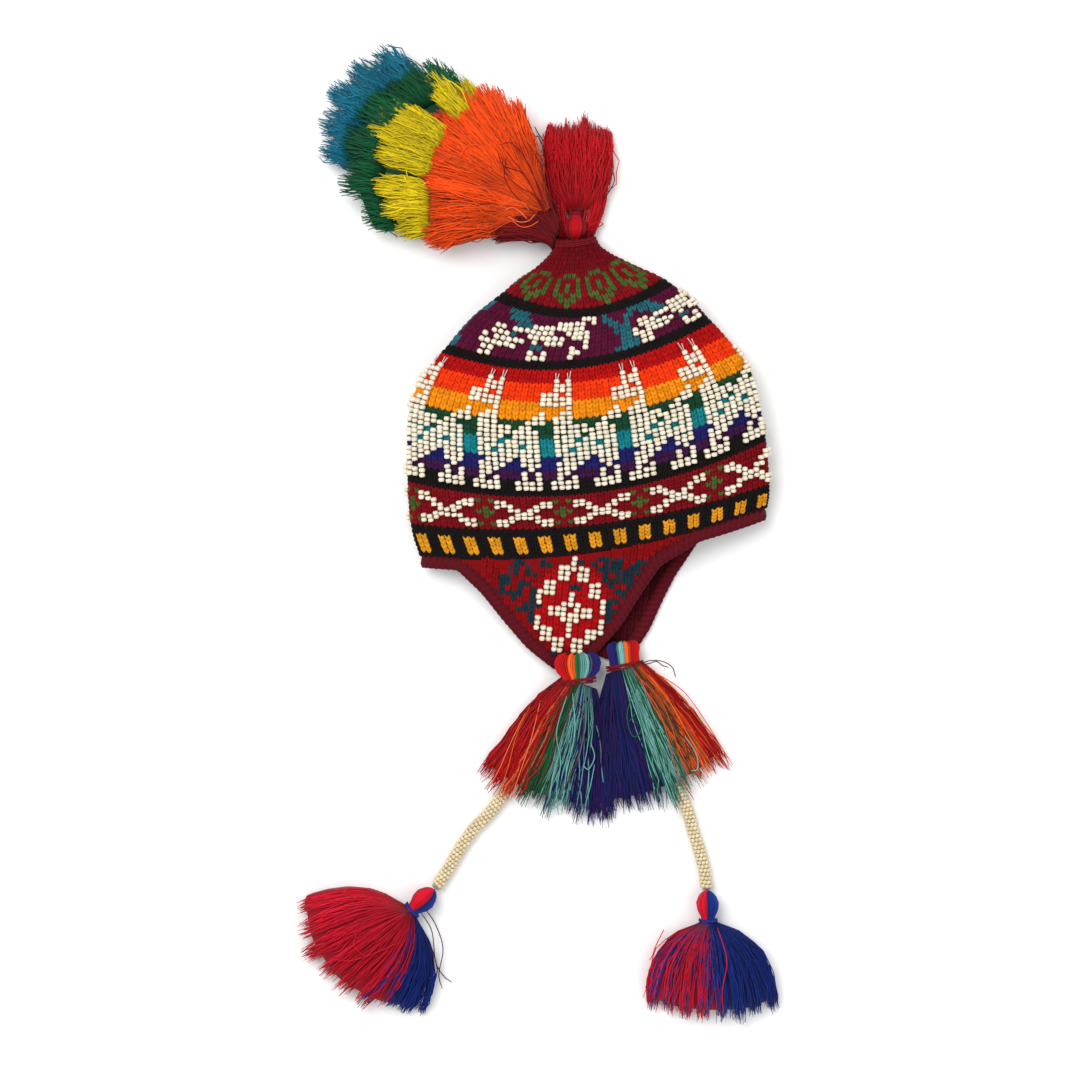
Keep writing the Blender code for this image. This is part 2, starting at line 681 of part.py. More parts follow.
def build_plume(foot, surfaces):
    """Nested tiers: each starts under the tips of the one before it."""
    root = foot + Vector(PLUME_ROOT)
    stem = [foot + Vector(offset) for offset in PLUME_STEM]
    for index, tier in enumerate(PLUME_TIERS):
        name, low_angle, high_angle, _, _, locks = tier
        before = PLUME_TIERS[index - 1] if index else None
        last = index == len(PLUME_TIERS) - 1
        top, bottom = [], []
        for step in range(PLUME_STEPS + 1):
            top_row, bottom_row = [], []
            for column in range(2 * locks + 1):
                share = column / (2 * locks)
                angle = low_angle + (high_angle - low_angle) * share
                valley = 1.0 if column % 2 == 0 else 0.0
                tip = tier_tip(tier, angle)
                tip *= 1.0 - valley * (TIP_NOTCH if last else TIER_TIP_NOTCH)
                runs = tier_runs(tip, tier_tip(before, angle) if before else None)
                run = runs[step]
                place = root + direction(angle) * run
                if not before:
                    place = stem[0].lerp(stem[1], share).lerp(place, run / tip)
                high = plume_height(run) * (1.0 - TIER_FLUTE_DEPTH * valley)
                low = 0.0 if last else tier_ramp(tier, angle, run)
                if before and step < 2:
                    high = min(high, tier_ramp(before, angle, run) - TIER_GAP)
                if last and run == runs[-1]:
                    high = PLUME_TIP
                top_row.append(Vector((*place, max(high, low + HEAD_RIM))))
                bottom_row.append(Vector((*place, low)))
            top.append(top_row)
            bottom.append(bottom_row)
        slab(name, top, bottom, surfaces[name])


def centre_on_origin():
    """Moves every piece so that the hat's box is centred over the origin, on the table."""
    pieces = list(bpy.context.scene.objects)
    bpy.context.view_layer.update()
    corners = [p.matrix_world @ Vector(corner) for p in pieces for corner in p.bound_box]
    low = Vector([min(c[axis] for c in corners) for axis in range(3)])
    high = Vector([max(c[axis] for c in corners) for axis in range(3)])
    offset = -(low + high) / 2.0
    offset.z = 0.0
    for piece in pieces:
        piece.data.transform(Matrix.Translation(offset))


def main():
    for old in list(bpy.data.objects):
        bpy.data.objects.remove(old, do_unlink=True)

    knit = material("knit", (0.26, 0.012, 0.024), 0.95)
    surfaces = {
        "border": material("border_yarn", (0.16, 0.008, 0.022), 0.95),
        "tassel": material("mixed_yarn", (0.10, 0.05, 0.20), 0.85),
        "tie": material("tie_yarn", (0.36, 0.008, 0.02), 0.85),
        "beads": material("ivory_beads", (0.80, 0.72, 0.55), 0.30),
        "red": material("red_yarn", (0.52, 0.004, 0.02), 0.85),
        "pompom": material("crimson_yarn", (0.60, 0.008, 0.04), 0.85),
        "navy": material("navy_yarn", (0.01, 0.02, 0.12), 0.85),
        "plume_red_tier": material("dark_red_yarn", (0.30, 0.004, 0.012), 0.85),
        "plume_orange_tier": material("orange_yarn", (1.0, 0.10, 0.01), 0.85),
        "plume_yellow_tier": material("yellow_yarn", (0.80, 0.66, 0.02), 0.85),
        "plume_green_tier": material("green_yarn", (0.004, 0.13, 0.06), 0.85),
        "plume_teal_tier": material("teal_yarn", (0.005, 0.16, 0.27), 0.85),
    }

    build_crown_side("crown_upper_side", True, knit)
    build_crown_side("crown_under_side", False, knit)
    upper = flap_rows(UPPER_FLAP_ROOT, UPPER_FLAP_ROWS, upper=True)
    lower = flap_rows(LOWER_FLAP_ROOT, LOWER_FLAP_ROWS, upper=False)
    build_flap("ear_flap_upper", upper, knit)
    build_flap("ear_flap_lower", lower, knit)
    build_border(fabric_edge(upper, lower), surfaces["border"])

    upper_tip = upper[-1][FLAP_COLUMNS // 2]
    lower_tip = lower[-1][FLAP_COLUMNS // 2]
    upper_base = UPPER_FLAP_TIP_HEIGHT + BORDER_THICKNESS / 2.0 + GAP
    lower_base = BORDER_THICKNESS + GAP
    left_rope = build_flap_tassel(
        "flap_tassel_upper", upper_tip, UPPER_TIE_DROP, upper_base,
        (UPPER_TASSEL_HEAD_LENGTH, UPPER_TASSEL_HEAD_WIDTH, UPPER_TASSEL_WAIST),
        UPPER_TASSEL_FRINGE, LEFT_ROPE_ROUTE, surfaces,
    )
    right_rope = build_flap_tassel(
        "flap_tassel_lower", lower_tip, LOWER_TIE_DROP, lower_base,
        (LOWER_TASSEL_HEAD_LENGTH, LOWER_TASSEL_HEAD_WIDTH, LOWER_TASSEL_WAIST),
        LOWER_TASSEL_FRINGE, RIGHT_ROPE_ROUTE, surfaces,
    )
    build_rope("bead_rope_left", left_rope, surfaces["beads"])
    build_rope("bead_rope_right", right_rope, surfaces["beads"])
    build_pompom("pompom_left", left_rope, LEFT_POMPOM_FRINGE, surfaces["pompom"], surfaces["navy"])
    build_pompom("pompom_right", right_rope, RIGHT_POMPOM_FRINGE, surfaces["pompom"], surfaces["navy"])
    foot = build_crown_tassel(surfaces)
    build_plume(foot, surfaces)
    centre_on_origin()


main()
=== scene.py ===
"""A beaded Andean chullo lying on its side: the looks, built round the fixed frame.

In words: the crown is a flattened bag whose sections run from the rim to the neck. A place on it is
(u, v), the share of the way round a section by arc length and the row of knitting. Every stitch, bead and
thread is put down by that rule or by a like one for its own piece: a stitch is two legs of a V, a bead is a
small barrel on the same grid, and a strand of yarn is a thin tube along a line of its bundle. A place in a
bundle is (across, along, depth): to which side it lies, how far it is from the waist towards the tips, and
how high it is between the table and the top. A place in the plume is (angle, run) about the plume's root,
at a height under the plume's profile.
"""

# %% [markdown]
# # The frame and the sizes
# The frame gives the box of every solid. The crown's box tells how far the frame was moved to be centred,
# so that the same tables of sections can be used here as curves to knit on.

import math

import bpy
import numpy as np
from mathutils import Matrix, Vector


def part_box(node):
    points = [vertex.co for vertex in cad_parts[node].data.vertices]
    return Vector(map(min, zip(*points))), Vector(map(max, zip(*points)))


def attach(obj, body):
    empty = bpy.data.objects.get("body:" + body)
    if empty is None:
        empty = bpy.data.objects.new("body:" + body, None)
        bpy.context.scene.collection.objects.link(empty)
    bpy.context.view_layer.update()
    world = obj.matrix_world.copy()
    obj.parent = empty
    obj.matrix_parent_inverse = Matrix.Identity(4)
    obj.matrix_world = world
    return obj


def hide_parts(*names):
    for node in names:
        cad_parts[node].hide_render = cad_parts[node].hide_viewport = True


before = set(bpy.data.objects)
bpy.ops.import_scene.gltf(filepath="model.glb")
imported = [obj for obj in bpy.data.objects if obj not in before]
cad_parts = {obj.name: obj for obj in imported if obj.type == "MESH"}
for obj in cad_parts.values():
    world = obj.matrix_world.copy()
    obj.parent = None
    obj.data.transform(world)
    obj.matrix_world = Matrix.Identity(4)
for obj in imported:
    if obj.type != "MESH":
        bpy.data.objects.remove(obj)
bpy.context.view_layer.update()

RIM_WIDTH = 0.237
CROWN_HEIGHT = 0.214
CROWN_THICKNESS = 0.046
KNIT_WALL = 0.003
RIM_CENTRE = np.array([0.034, -0.009])
NECK_TOP_Y = 1.004
LEFTMOST_X = -0.520

crown_low = np.array(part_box("crown_upper_side")[0])
crown_high = np.array(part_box("crown_upper_side")[1])
SHIFT = np.array(
    [
        crown_low[0] - (RIM_CENTRE[0] + LEFTMOST_X * RIM_WIDTH),
        crown_high[1] - (RIM_CENTRE[1] + NECK_TOP_Y * CROWN_HEIGHT),
        0.0,
    ]
)
print("frame moved by", SHIFT)

# %% [markdown]
# # Colours
# Dyes as they look under a white light, written as red, green and blue in 0 to 255 and turned into the
# linear values that a shader takes.

# %% Dyes
def dye(red, green, blue):
    """A linear colour from one written in display values."""
    value = np.array([red, green, blue]) / 255.0
    return np.where(value <= 0.04045, value / 12.92, ((value + 0.055) / 1.055) ** 2.4)


DYES = {
    "crimson": dye(112, 4, 18),
    "moss": dye(88, 112, 38),
    "black": dye(20, 15, 15),
    "purple": dye(84, 10, 46),
    "teal": dye(34, 98, 110),
    "red": dye(176, 8, 10),
    "orange": dye(236, 56, 4),
    "gold": dye(232, 138, 8),
    "forest": dye(18, 66, 42),
    "sea": dye(18, 124, 132),
    "navy": dye(28, 28, 96),
    "plum": dye(58, 18, 62),
    "maroon": dye(124, 6, 18),
    "grass": dye(70, 92, 38),
    "amber": dye(222, 150, 28),
    "flap_red": dye(170, 6, 14),
    "flap_teal": dye(14, 48, 58),
    "wine": dye(88, 12, 24),
    "dark_wine": dye(74, 8, 18),
    "dark_teal": dye(26, 52, 60),
    "ivory": dye(228, 218, 198),
    "pearl": dye(222, 206, 168),
    "thread": dye(214, 206, 200),
    "yarn_red": dye(192, 6, 12),
    "yarn_orange": dye(255, 104, 20),
    "yarn_salmon": dye(236, 104, 60),
    "yarn_brown": dye(96, 50, 34),
    "yarn_green": dye(4, 96, 54),
    "yarn_pale_teal": dye(112, 174, 166),
    "yarn_navy": dye(18, 28, 104),
    "yarn_purple": dye(46, 14, 96),
    "pompom_crimson": dye(212, 6, 42),
    "pompom_navy": dye(14, 44, 132),
    "brush_red": dye(204, 4, 22),
    "stem_red": dye(128, 2, 16),
    "plume_orange": dye(255, 84, 6),
    "plume_yellow": dye(230, 206, 8),
    "plume_green": dye(0, 92, 52),
    "plume_teal": dye(4, 112, 140),
}

# %% [markdown]
# # Shaders
# A socket is wrapped so that it can be added to and multiplied, and one method makes any other node.
# Each piece carries its colours as an attribute called dye. The yarn shader mottles it and roughens the
# surface with a fine noise; the bead shader is smooth with a clear coat.

# %% Shader writing
class Value:
    """A shader socket that can be used in sums."""

    def __init__(self, tree, socket):
        self.tree = tree
        self.socket = socket

    def maths(self, operation, first, second):
        """A new value made from two by one operation."""
        made = self.tree.nodes.new("ShaderNodeMath")
        made.operation = operation
        for place, item in zip(made.inputs, (first, second)):
            if isinstance(item, Value):
                self.tree.links.new(item.socket, place)
            else:
                place.default_value = item
        return Value(self.tree, made.outputs[0])

    def __add__(self, other):
        return self.maths("ADD", self, other)

    def __mul__(self, other):
        return self.maths("MULTIPLY", self, other)


class Surface:
    """A material and its nodes."""

    def __init__(self, name, settings):
        self.material = bpy.data.materials.new(name)
        self.material.use_nodes = True
        self.tree = self.material.node_tree
        self.shader = self.tree.nodes["Principled BSDF"]
        for place, value in settings.items():
            self.shader.inputs[place].default_value = value

    def node(self, kind, settings=None, inputs=None):
        """A node of a kind, with its settings made and its inputs given or linked."""
        made = self.tree.nodes.new(kind)
        for name, value in (settings or {}).items():
            setattr(made, name, value)
        for place, value in (inputs or {}).items():
            if isinstance(value, Value):
                self.tree.links.new(value.socket, made.inputs[place])
            else:
                made.inputs[place].default_value = value
        return made

    def out(self, made, place):
        """One output of a node, as a value."""
        return Value(self.tree, made.outputs[place])

    def drive(self, place, value):
        """Link a value to an input of the surface's shader."""
        self.tree.links.new(value.socket, self.shader.inputs[place])


def dyed_surface(name, settings, mottle, mottle_scale, grain_scale, grain_depth):
    """A surface that takes its colour from the dye attribute, mottled, with a fine grain."""
    made = Surface(name, settings)
    place = made.out(made.node("ShaderNodeTexCoord"), "Object")
    noise = made.node("ShaderNodeTexNoise", inputs={"Vector": place, "Scale": mottle_scale, "Detail": 3.0})
    level = made.out(noise, "Fac") * (2.0 * mottle) + (1.0 - mottle)
    colour = made.out(made.node("ShaderNodeAttribute", {"attribute_name": "dye"}), "Color")
    scaled = made.node("ShaderNodeVectorMath", {"operation": "SCALE"}, {0: colour, "Scale": level})
    made.drive("Base Color", made.out(scaled, "Vector"))
    if grain_depth:
        fine = made.node("ShaderNodeTexNoise", inputs={"Vector": place, "Scale": grain_scale, "Detail": 2.0})
        bump = made.node(
            "ShaderNodeBump", inputs={"Height": made.out(fine, "Fac"), "Strength": 0.5, "Distance": grain_depth}
        )
        made.drive("Normal", made.out(bump, "Normal"))
    return made.material


KNIT = dyed_surface(
    "knit_wool",
    {"Roughness": 0.92, "Specular IOR Level": 0.12, "Sheen Weight": 0.04, "Sheen Roughness": 0.5},
    0.34, 900.0, 2600.0, 0.0006,
)
YARN = dyed_surface(
    "soft_yarn",
    {"Roughness": 0.72, "Specular IOR Level": 0.2, "Sheen Weight": 0.04, "Sheen Roughness": 0.4},
    0.22, 700.0, 2400.0, 0.0004,
)
BEAD = dyed_surface(
    "glass_beads",
    {"Roughness": 0.30, "Specular IOR Level": 0.5, "Coat Weight": 0.35, "Coat Roughness": 0.12},
    0.06, 260.0, 0.0, 0.0,
)

# %% [markdown]
# # Meshes from arrays
# Every piece is one mesh written from arrays: points, faces with three or four corners, and a colour for
# each point. A tube is a ring of corners carried along a path. Its two ends are closed.

# %% Mesh tools
def mesh_piece(name, points, faces, colours, material, stands_for=()):
    """A joined piece that rides on the hat. faces is a list of arrays of corner numbers."""
    points = np.asarray(points, np.float32).reshape(-1, 3)
    sizes = np.concatenate([np.full(len(group), group.shape[1]) for group in faces])
    corners = np.concatenate([np.asarray(group).ravel() for group in faces])
    mesh = bpy.data.meshes.new(name)
    mesh.vertices.add(len(points))
    mesh.vertices.foreach_set("co", points.ravel())
    mesh.loops.add(len(corners))
    mesh.loops.foreach_set("vertex_index", corners.astype(np.int32))
    mesh.polygons.add(len(sizes))
    starts = np.concatenate([[0], np.cumsum(sizes)[:-1]])
    mesh.polygons.foreach_set("loop_start", starts.astype(np.int32))
    mesh.update(calc_edges=True)
    mesh.validate()
    mesh.shade_smooth()
    shade = np.ones((len(points), 4), np.float32)
    shade[:, :3] = colours
    mesh.attributes.new("dye", "FLOAT_COLOR", "POINT").data.foreach_set("color", shade.ravel())
    mesh.materials.append(material)
    made = bpy.data.objects.new(name, mesh)
    bpy.context.scene.collection.objects.link(made)
    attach(made, "root")
    if stands_for:
        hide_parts(*stands_for)
    triangles = int((sizes - 2).sum())
    print(f"{name}: {triangles} triangles")


def unit(vectors):
    """Vectors divided by their lengths."""
    return vectors / np.maximum(np.linalg.norm(vectors, axis=-1, keepdims=True), 1e-12)


def grid_faces(rows, columns, closed):
    """Faces of a grid of points, rows by columns. closed joins the last column to the first."""
    across = np.arange(columns if closed else columns - 1)
    row = np.arange(rows - 1)[:, None]
    here = row * columns + across
    beside = row * columns + (across + 1) % columns
    return np.stack([here, beside, beside + columns, here + columns], -1).reshape(-1, 4)


def faces_out(points, faces, middles):
    """Whether quads face away from their middles: the sum of their normals' shares in that direction."""
    corner = points[faces]
    out = np.cross(corner[:, 1] - corner[:, 0], corner[:, 3] - corner[:, 0])
    return (out * (corner.mean(1) - middles)).sum() > 0


def tubes(paths, radii, sides):
    """Closed tubes along paths (tube, step, 3), with radii (tube, step). Gives points and faces.

    Each ring stands square to the path: the path's place, plus the radius times the cosine of the turn
    sideways and the sine of the turn upwards.
    """
    count, steps = paths.shape[:2]
    along = unit(np.gradient(paths, axis=1))
    upright = np.abs(along[..., 2:]) > 0.9
    reference = np.where(upright, [1.0, 0.0, 0.0], [0.0, 0.0, 1.0])
    side = unit(np.cross(along, reference))
    lift = np.cross(side, along)
    turn = np.arange(sides) * math.tau / sides
    ring = np.cos(turn)[:, None] * side[..., None, :] + np.sin(turn)[:, None] * lift[..., None, :]
    points = paths[..., None, :] + radii[..., None, None] * ring
    start = (np.arange(count) * steps * sides)[:, None]
    step = (np.arange(steps - 1) * sides)[:, None] + np.arange(sides)
    after = (np.arange(steps - 1) * sides)[:, None] + (np.arange(sides) + 1) % sides
    wall = np.stack([step, step + sides, after + sides, after], -1).reshape(1, -1, 4) + start[..., None]
    first = np.arange(sides) + start
    last = np.arange(sides)[::-1] + start + (steps - 1) * sides
    return points.reshape(-1, 3), [wall.reshape(-1, 4), first, last]


def joined(parts):
    """(points, faces) parts as one."""
    points, faces, offset = [], [], 0
    for part_points, part_faces in parts:
        points.append(part_points)
        faces += [group + offset for group in part_faces]
        offset += len(part_points)
    return np.concatenate(points), faces


def pattern_faces(patterns, copies, size):
    """The faces of patterns of so many points, for all their copies."""
    start = (np.arange(copies) * size)[:, None, None]
    return [(pattern[None] + start).reshape(-1, 4) for pattern in patterns]


def lifted(flat, height):
    """Flat places with their heights."""
    return np.concatenate([flat, height[..., None]], -1)


def lengths_along(line):
    """How far along a line each of its points is."""
    return np.concatenate([[0.0], np.cumsum(np.linalg.norm(np.diff(line, axis=0), axis=1))])


def curve_between(a, b, c, d, t):
    """The Catmull-Rom curve from b to c, with a before and d after them, at shares t."""
    return 0.5 * (2 * b + (c - a) * t + (2 * a - 5 * b + 4 * c - d) * t**2 + (3 * b - a - 3 * c + d) * t**3)


def smooth_path(points, count):
    """Evenly spaced points on a Catmull-Rom curve through the given ones."""
    points = np.asarray(points, float)
    ends = np.concatenate([[2 * points[0] - points[1]], points, [2 * points[-1] - points[-2]]])
    t = (np.arange(24) / 24)[None, :, None]
    a, b, c, d = (ends[i : len(ends) - 3 + i][:, None, :] for i in range(4))
    fine = curve_between(a, b, c, d, t)
    fine = np.concatenate([fine.reshape(-1, points.shape[1]), points[-1:]])
    return even(fine, count)


def even(fine, count):
    """A line of points taken again at even spacing."""
    length = lengths_along(fine)
    at = np.linspace(0.0, length[-1], count)
    return np.stack([np.interp(at, length, fine[:, k]) for k in range(fine.shape[1])], 1)


def heading(degrees):
    """A flat direction from an angle in degrees."""
    angle = np.radians(degrees)
    return np.stack([np.cos(angle), np.sin(angle)], -1)


# %% [markdown]
# # The crown as a place to knit on
# A section is a curve between the left fold and the right fold, sagging towards the rim in its middle. Its
# upper side swells and its under side lies flat on the table. Sections are joined smoothly. The rows are
# spread over them by bands, and on each row the stitches are spread evenly by arc length, so that a column
# of stitches narrows towards the neck as knitting does.

# %% Crown surface
SECTIONS = np.array(
    [
        # left_x, left_y, right_x, right_y, sag, fold, top
        [-0.486, -0.010, 0.506, 0.143, 0.063, 0.28, 0.60],
        [-0.511, 0.092, 0.511, 0.216, 0.067, 0.33, 0.76],
        [-0.520, 0.251, 0.497, 0.378, 0.108, 0.38, 0.91],
        [-0.514, 0.448, 0.460, 0.562, 0.114, 0.40, 1.00],
        [-0.471, 0.568, 0.405, 0.657, 0.108, 0.40, 0.99],
        [-0.405, 0.657, 0.328, 0.752, 0.102, 0.40, 0.95],
        [-0.336, 0.746, 0.282, 0.806, 0.092, 0.38, 0.86],
        [-0.247, 0.825, 0.210, 0.867, 0.079, 0.36, 0.74],
        [-0.204, 0.867, 0.144, 0.902, 0.058, 0.34, 0.66],
        [-0.152, 0.905, 0.078, 0.937, 0.035, 0.32, 0.57],
        [-0.106, 0.956, 0.028, 0.971, 0.012, 0.28, 0.49],
        [-0.095, 0.994, 0.012, 1.004, 0.006, 0.26, 0.46],
    ]
)
BANDS = (
    # name, rows, stitches round, first section, last section
    ("squares", 7, 120, 0, 1),
    ("crosses", 11, 120, 1, 2),
    ("llamas", 28, 110, 2, 5),
    ("animals", 11, 84, 5, 7),
    ("circles", 7, 54, 7, 8.9),
    ("ribs", 8, 42, 8.9, 11),
)
ROWS = sum(band[1] for band in BANDS)
RIB_COUNT = 21
RIB_DEPTH = 0.0007
RIB_ROWS = 9
RIB_FADE = 5.0
FINE = 4
RING_SAMPLES = 961
RING_COLUMNS = 481
OVER_TABLE = 0.00005


def section_values(at):
    """The table's values at fractional sections, along a Catmull-Rom curve through its rows."""
    at = np.clip(np.asarray(at, float), 0.0, len(SECTIONS) - 1.0)
    low = np.minimum(at.astype(int), len(SECTIONS) - 2)
    t = (at - low)[..., None]
    ends = np.concatenate([[2 * SECTIONS[0] - SECTIONS[1]], SECTIONS, [2 * SECTIONS[-1] - SECTIONS[-2]]])
    a, b, c, d = (ends[low + i] for i in range(4))
    return curve_between(a, b, c, d, t)


def crown_place(at, turn, inset=0.0):
    """Points of sections: turn 0 is the left fold, 0.5 the right one.

    The cosine of the turn gives the share of the way across. The upper side rises from the fold's height
    with the sine to the power of 0.85. The under side drops to the table with its power of 0.6.
    """
    left_x, left_y, right_x, right_y, sag, fold, top = np.moveaxis(section_values(at), -1, 0)
    angle = math.tau * turn
    share = (1.0 - np.cos(angle)) / 2.0
    lift = np.abs(np.sin(angle))
    x = RIM_CENTRE[0] + RIM_WIDTH * (left_x + (right_x - left_x) * share)
    x = x + inset * np.cos(angle)
    sagged = left_y + (right_y - left_y) * share - sag * 4.0 * share * (1.0 - share)
    y = RIM_CENTRE[1] + CROWN_HEIGHT * sagged
    middle = fold * CROWN_THICKNESS
    upper = middle + (top * CROWN_THICKNESS - inset - middle) * lift**0.85
    under = middle - (middle - inset) * np.minimum(1.0, 1.25 * lift) ** 0.6
    return np.stack([x, y, np.where(turn <= 0.5, upper, under)], -1) + SHIFT


def row_sections():
    """The section at each fine row, evenly spread along the middle of the upper side in each band."""
    found = []
    for _, rows, _, first, last in BANDS:
        at = np.linspace(first, last, 60)
        line = crown_place(at, np.full(60, 0.25))
        length = lengths_along(line)
        part = np.interp(np.linspace(0.0, length[-1], rows * FINE + 1), length, at)
        found.append(part if not found else part[1:])
    return np.concatenate(found)


def crown_grid():
    """Places and outward normals at fine rows and columns, spread evenly round each row.

    Near the neck the wall is pleated: it moves in and out with the cosine of the place round the row.
    """
    turn = np.linspace(0.0, 1.0, RING_SAMPLES)
    columns = np.linspace(0.0, 1.0, RING_COLUMNS)
    rings = []
    for at in row_sections():
        ring = crown_place(np.full(len(turn), at), turn)
        ring[-1] = ring[0]
        rings.append(even(ring, len(columns)))
    places = np.stack(rings)
    wrapped = np.concatenate([places[:, -2:-1], places, places[:, 1:2]], axis=1)
    across = wrapped[:, 2:] - wrapped[:, :-2]
    along = np.gradient(places, axis=0)
    normals = unit(np.cross(along, across))
    outward = normals[:, RING_COLUMNS // 4, 2].mean()
    normals = normals * np.sign(outward)
    row = np.arange(len(places)) / FINE
    fade = np.clip((row - (ROWS - RIB_ROWS)) / RIB_FADE, 0.0, 1.0)
    pleat = fade[:, None] * np.cos(math.tau * RIB_COUNT * columns)
    return places + normals * (pleat * RIB_DEPTH)[..., None], normals


GRID, GRID_NORMALS = crown_grid()


def on_crown(u, v, out):
    """The place at share u round row v, moved out by a distance. It stays above the table."""
    column = (np.asarray(u, float) % 1.0) * (GRID.shape[1] - 1)
    row = np.clip(np.asarray(v, float), 0.0, ROWS) * FINE
    left = np.minimum(column.astype(int), GRID.shape[1] - 2)
    low = np.minimum(row.astype(int), GRID.shape[0] - 2)
    x = (column - left)[..., None]
    y = (row - low)[..., None]

    def blend(table):
        """The table between its four nearest places."""
        bottom = table[low, left] * (1 - x) + table[low, left + 1] * x
        top = table[low + 1, left] * (1 - x) + table[low + 1, left + 1] * x
        return bottom * (1 - y) + top * y

    normals = unit(blend(GRID_NORMALS))
    places = blend(GRID) + normals * np.asarray(out, float)[..., None]
    places[..., 2] = np.maximum(places[..., 2], OVER_TABLE)
    return places, normals


print("rows", ROWS, "grid", GRID.shape)

# %% [markdown]
# # The charts
# The pattern is drawn row by row, top row first, as a knitter's chart. b is a bead, and the other letters
# are the colours of the yarn. The llama repeats every eleven stitches, the cross every twelve, the circle
# every six and the square every four. The animal is put down at three places round the hat.

# %% Charts
LLAMA = (
    "...........",
    "...........",
    "..b.b......",
    "..bbb......",
    "..bbb......",
    "bbb.b......",
    "bbbbb......",
    "bbbbb......",
    "....b......",
    "b..bb......",
    "b.bbb.....b",
    "b.bbb....bb",
    "..bbbbb.bb.",
    "..bbbbbbbbb",
    "..bbbb.bbbb",
    "..bbb.bbbbb",
    "..bbbbbb.bb",
    "..bb.bbbbbb",
    "..bbbbbbbbb",
    "...bbbb.bbb",
    "..bbbb..bbb",
    "..bbb....b.",
    "..bb....b.b",
    "..b.b...b.b",
    ".bbbb..bbbb",
    ".bbbb..bbbb",
)
CROSS = (
    "............",
    "bb.....bbg.g",
    "bbb...bbb...",
    "..bb.bb...g.",
    "...bbb...ggg",
    "..bbbbb...g.",
    "bbb...bbb...",
    "bb.....bbg.g",
    "............",
)
ANIMAL = (
    ".tttt..........bbb.t....t",
    "..tttt.....bbbbb.b.tt..tt",
    "....tttbbbbbbbbb....tt.t.",
    ".bb.bbbbbbb..bbbb....ttt.",
    ".bbbt..bbbbbb.bbb....ttt.",
    "b.bbbbb.b.bbb...b.....tt.",
    "bbbbbb..tt....b.b.....tt.",
    ".bb.....b.b...bb......ttt",
    ".bb.....bbb...b......tttt",
)
CIRCLE = (
    ".ggg..",
    "g...g.",
    "g.g.g.",
    "g.g.g.",
    "gg.gg.",
    ".ggg..",
    "..g...",
)
SQUARE_ROWS = "kkyyyyk"
LLAMA_GROUND = (
    # rows from the bottom, colour
    (2, "black"),
    (2, "plum"),
    (3, "navy"),
    (4, "sea"),
    (4, "forest"),
    (4, "gold"),
    (4, "orange"),
    (3, "red"),
)
LLAMA_START, CROSS_START, SQUARE_START, CIRCLE_START = 10, 3, 1, 2
ANIMAL_STARTS = (61, 5, 29)


def chart(lines):
    """A chart as rows from the bottom, each a list of letters."""
    return [list(line) for line in reversed(lines)]


def repeated(lines, start, stitches):
    """A chart repeated round a row of stitches."""
    rows = np.array(chart(lines))
    return rows[:, (np.arange(stitches) - start) % rows.shape[1]]


def placed(lines, starts, stitches):
    """A chart put down at a few places round a row of stitches."""
    rows = np.array(chart(lines))
    made = np.full((len(rows), stitches), ".")
    for start in starts:
        places = (start + np.arange(rows.shape[1])) % stitches
        made[:, places] = np.where(rows == ".", made[:, places], rows)
    return made


def band_letters(name, rows, stitches):
    """(letters, ground colours) of a band, rows from the bottom by stitches."""
    letters = np.full((rows, stitches), ".")
    ground = ["black"] * rows
    if name == "squares":
        column = (np.arange(stitches) - SQUARE_START) % 4
        for row, letter in enumerate(reversed(SQUARE_ROWS)):
            letters[row] = np.where((column < 2) & (letter == "y"), "y", ".")
    elif name == "crosses":
        letters[: len(CROSS)] = repeated(CROSS, CROSS_START, stitches)
        ground[: len(CROSS)] = ["maroon"] * len(CROSS)
    elif name == "llamas":
        letters[: len(LLAMA)] = repeated(LLAMA, LLAMA_START, stitches)
        ground[: len(LLAMA)] = [colour for count, colour in LLAMA_GROUND for _ in range(count)]
    elif name == "animals":
        letters[: len(ANIMAL)] = placed(ANIMAL, ANIMAL_STARTS, stitches)
        ground[: len(ANIMAL)] = ["purple"] * len(ANIMAL)
    elif name == "circles":
        letters[:] = repeated(CIRCLE, CIRCLE_START, stitches)
        ground = ["maroon"] * rows
    else:
        ground = ["crimson"] * rows
    return letters, ground


LETTER_DYES = {"y": "amber", "g": "grass", "t": "teal"}


def letter_colours(letters, ground):
    """The yarn colour of each stitch. Yarn under a bead has the ground's colour."""
    colours = np.array([DYES[name] for name in ground])[:, None, :].repeat(letters.shape[1], 1)
    for letter, name in LETTER_DYES.items():
        colours = np.where((letters == letter)[..., None], DYES[name], colours)
    return colours


# %% [markdown]
# # The crown's wall
# A smooth wall lies under the stitches, a little inside them, so that the gaps between stitches show the
# ground's colour darkened as painted shade. It has an inner side as well, painted darker still as shade, and
# both are closed at the neck, where the caps' middles are painted dark as shade.

# %% Crown wall
WALL_COLUMNS = 60
STITCH_RELIEF = 0.0008
# how much the wall's ground colour is darkened, as painted shade in the gaps between stitches
WALL_PAINTED_SHADE = 0.55


def row_grounds():
    """A ground colour for each row line of the crown."""
    colours = []
    for name, rows, stitches, _, _ in BANDS:
        _, ground = band_letters(name, rows, stitches)
        colours += [DYES[colour] for colour in ground]
    return np.array(colours + colours[-1:])


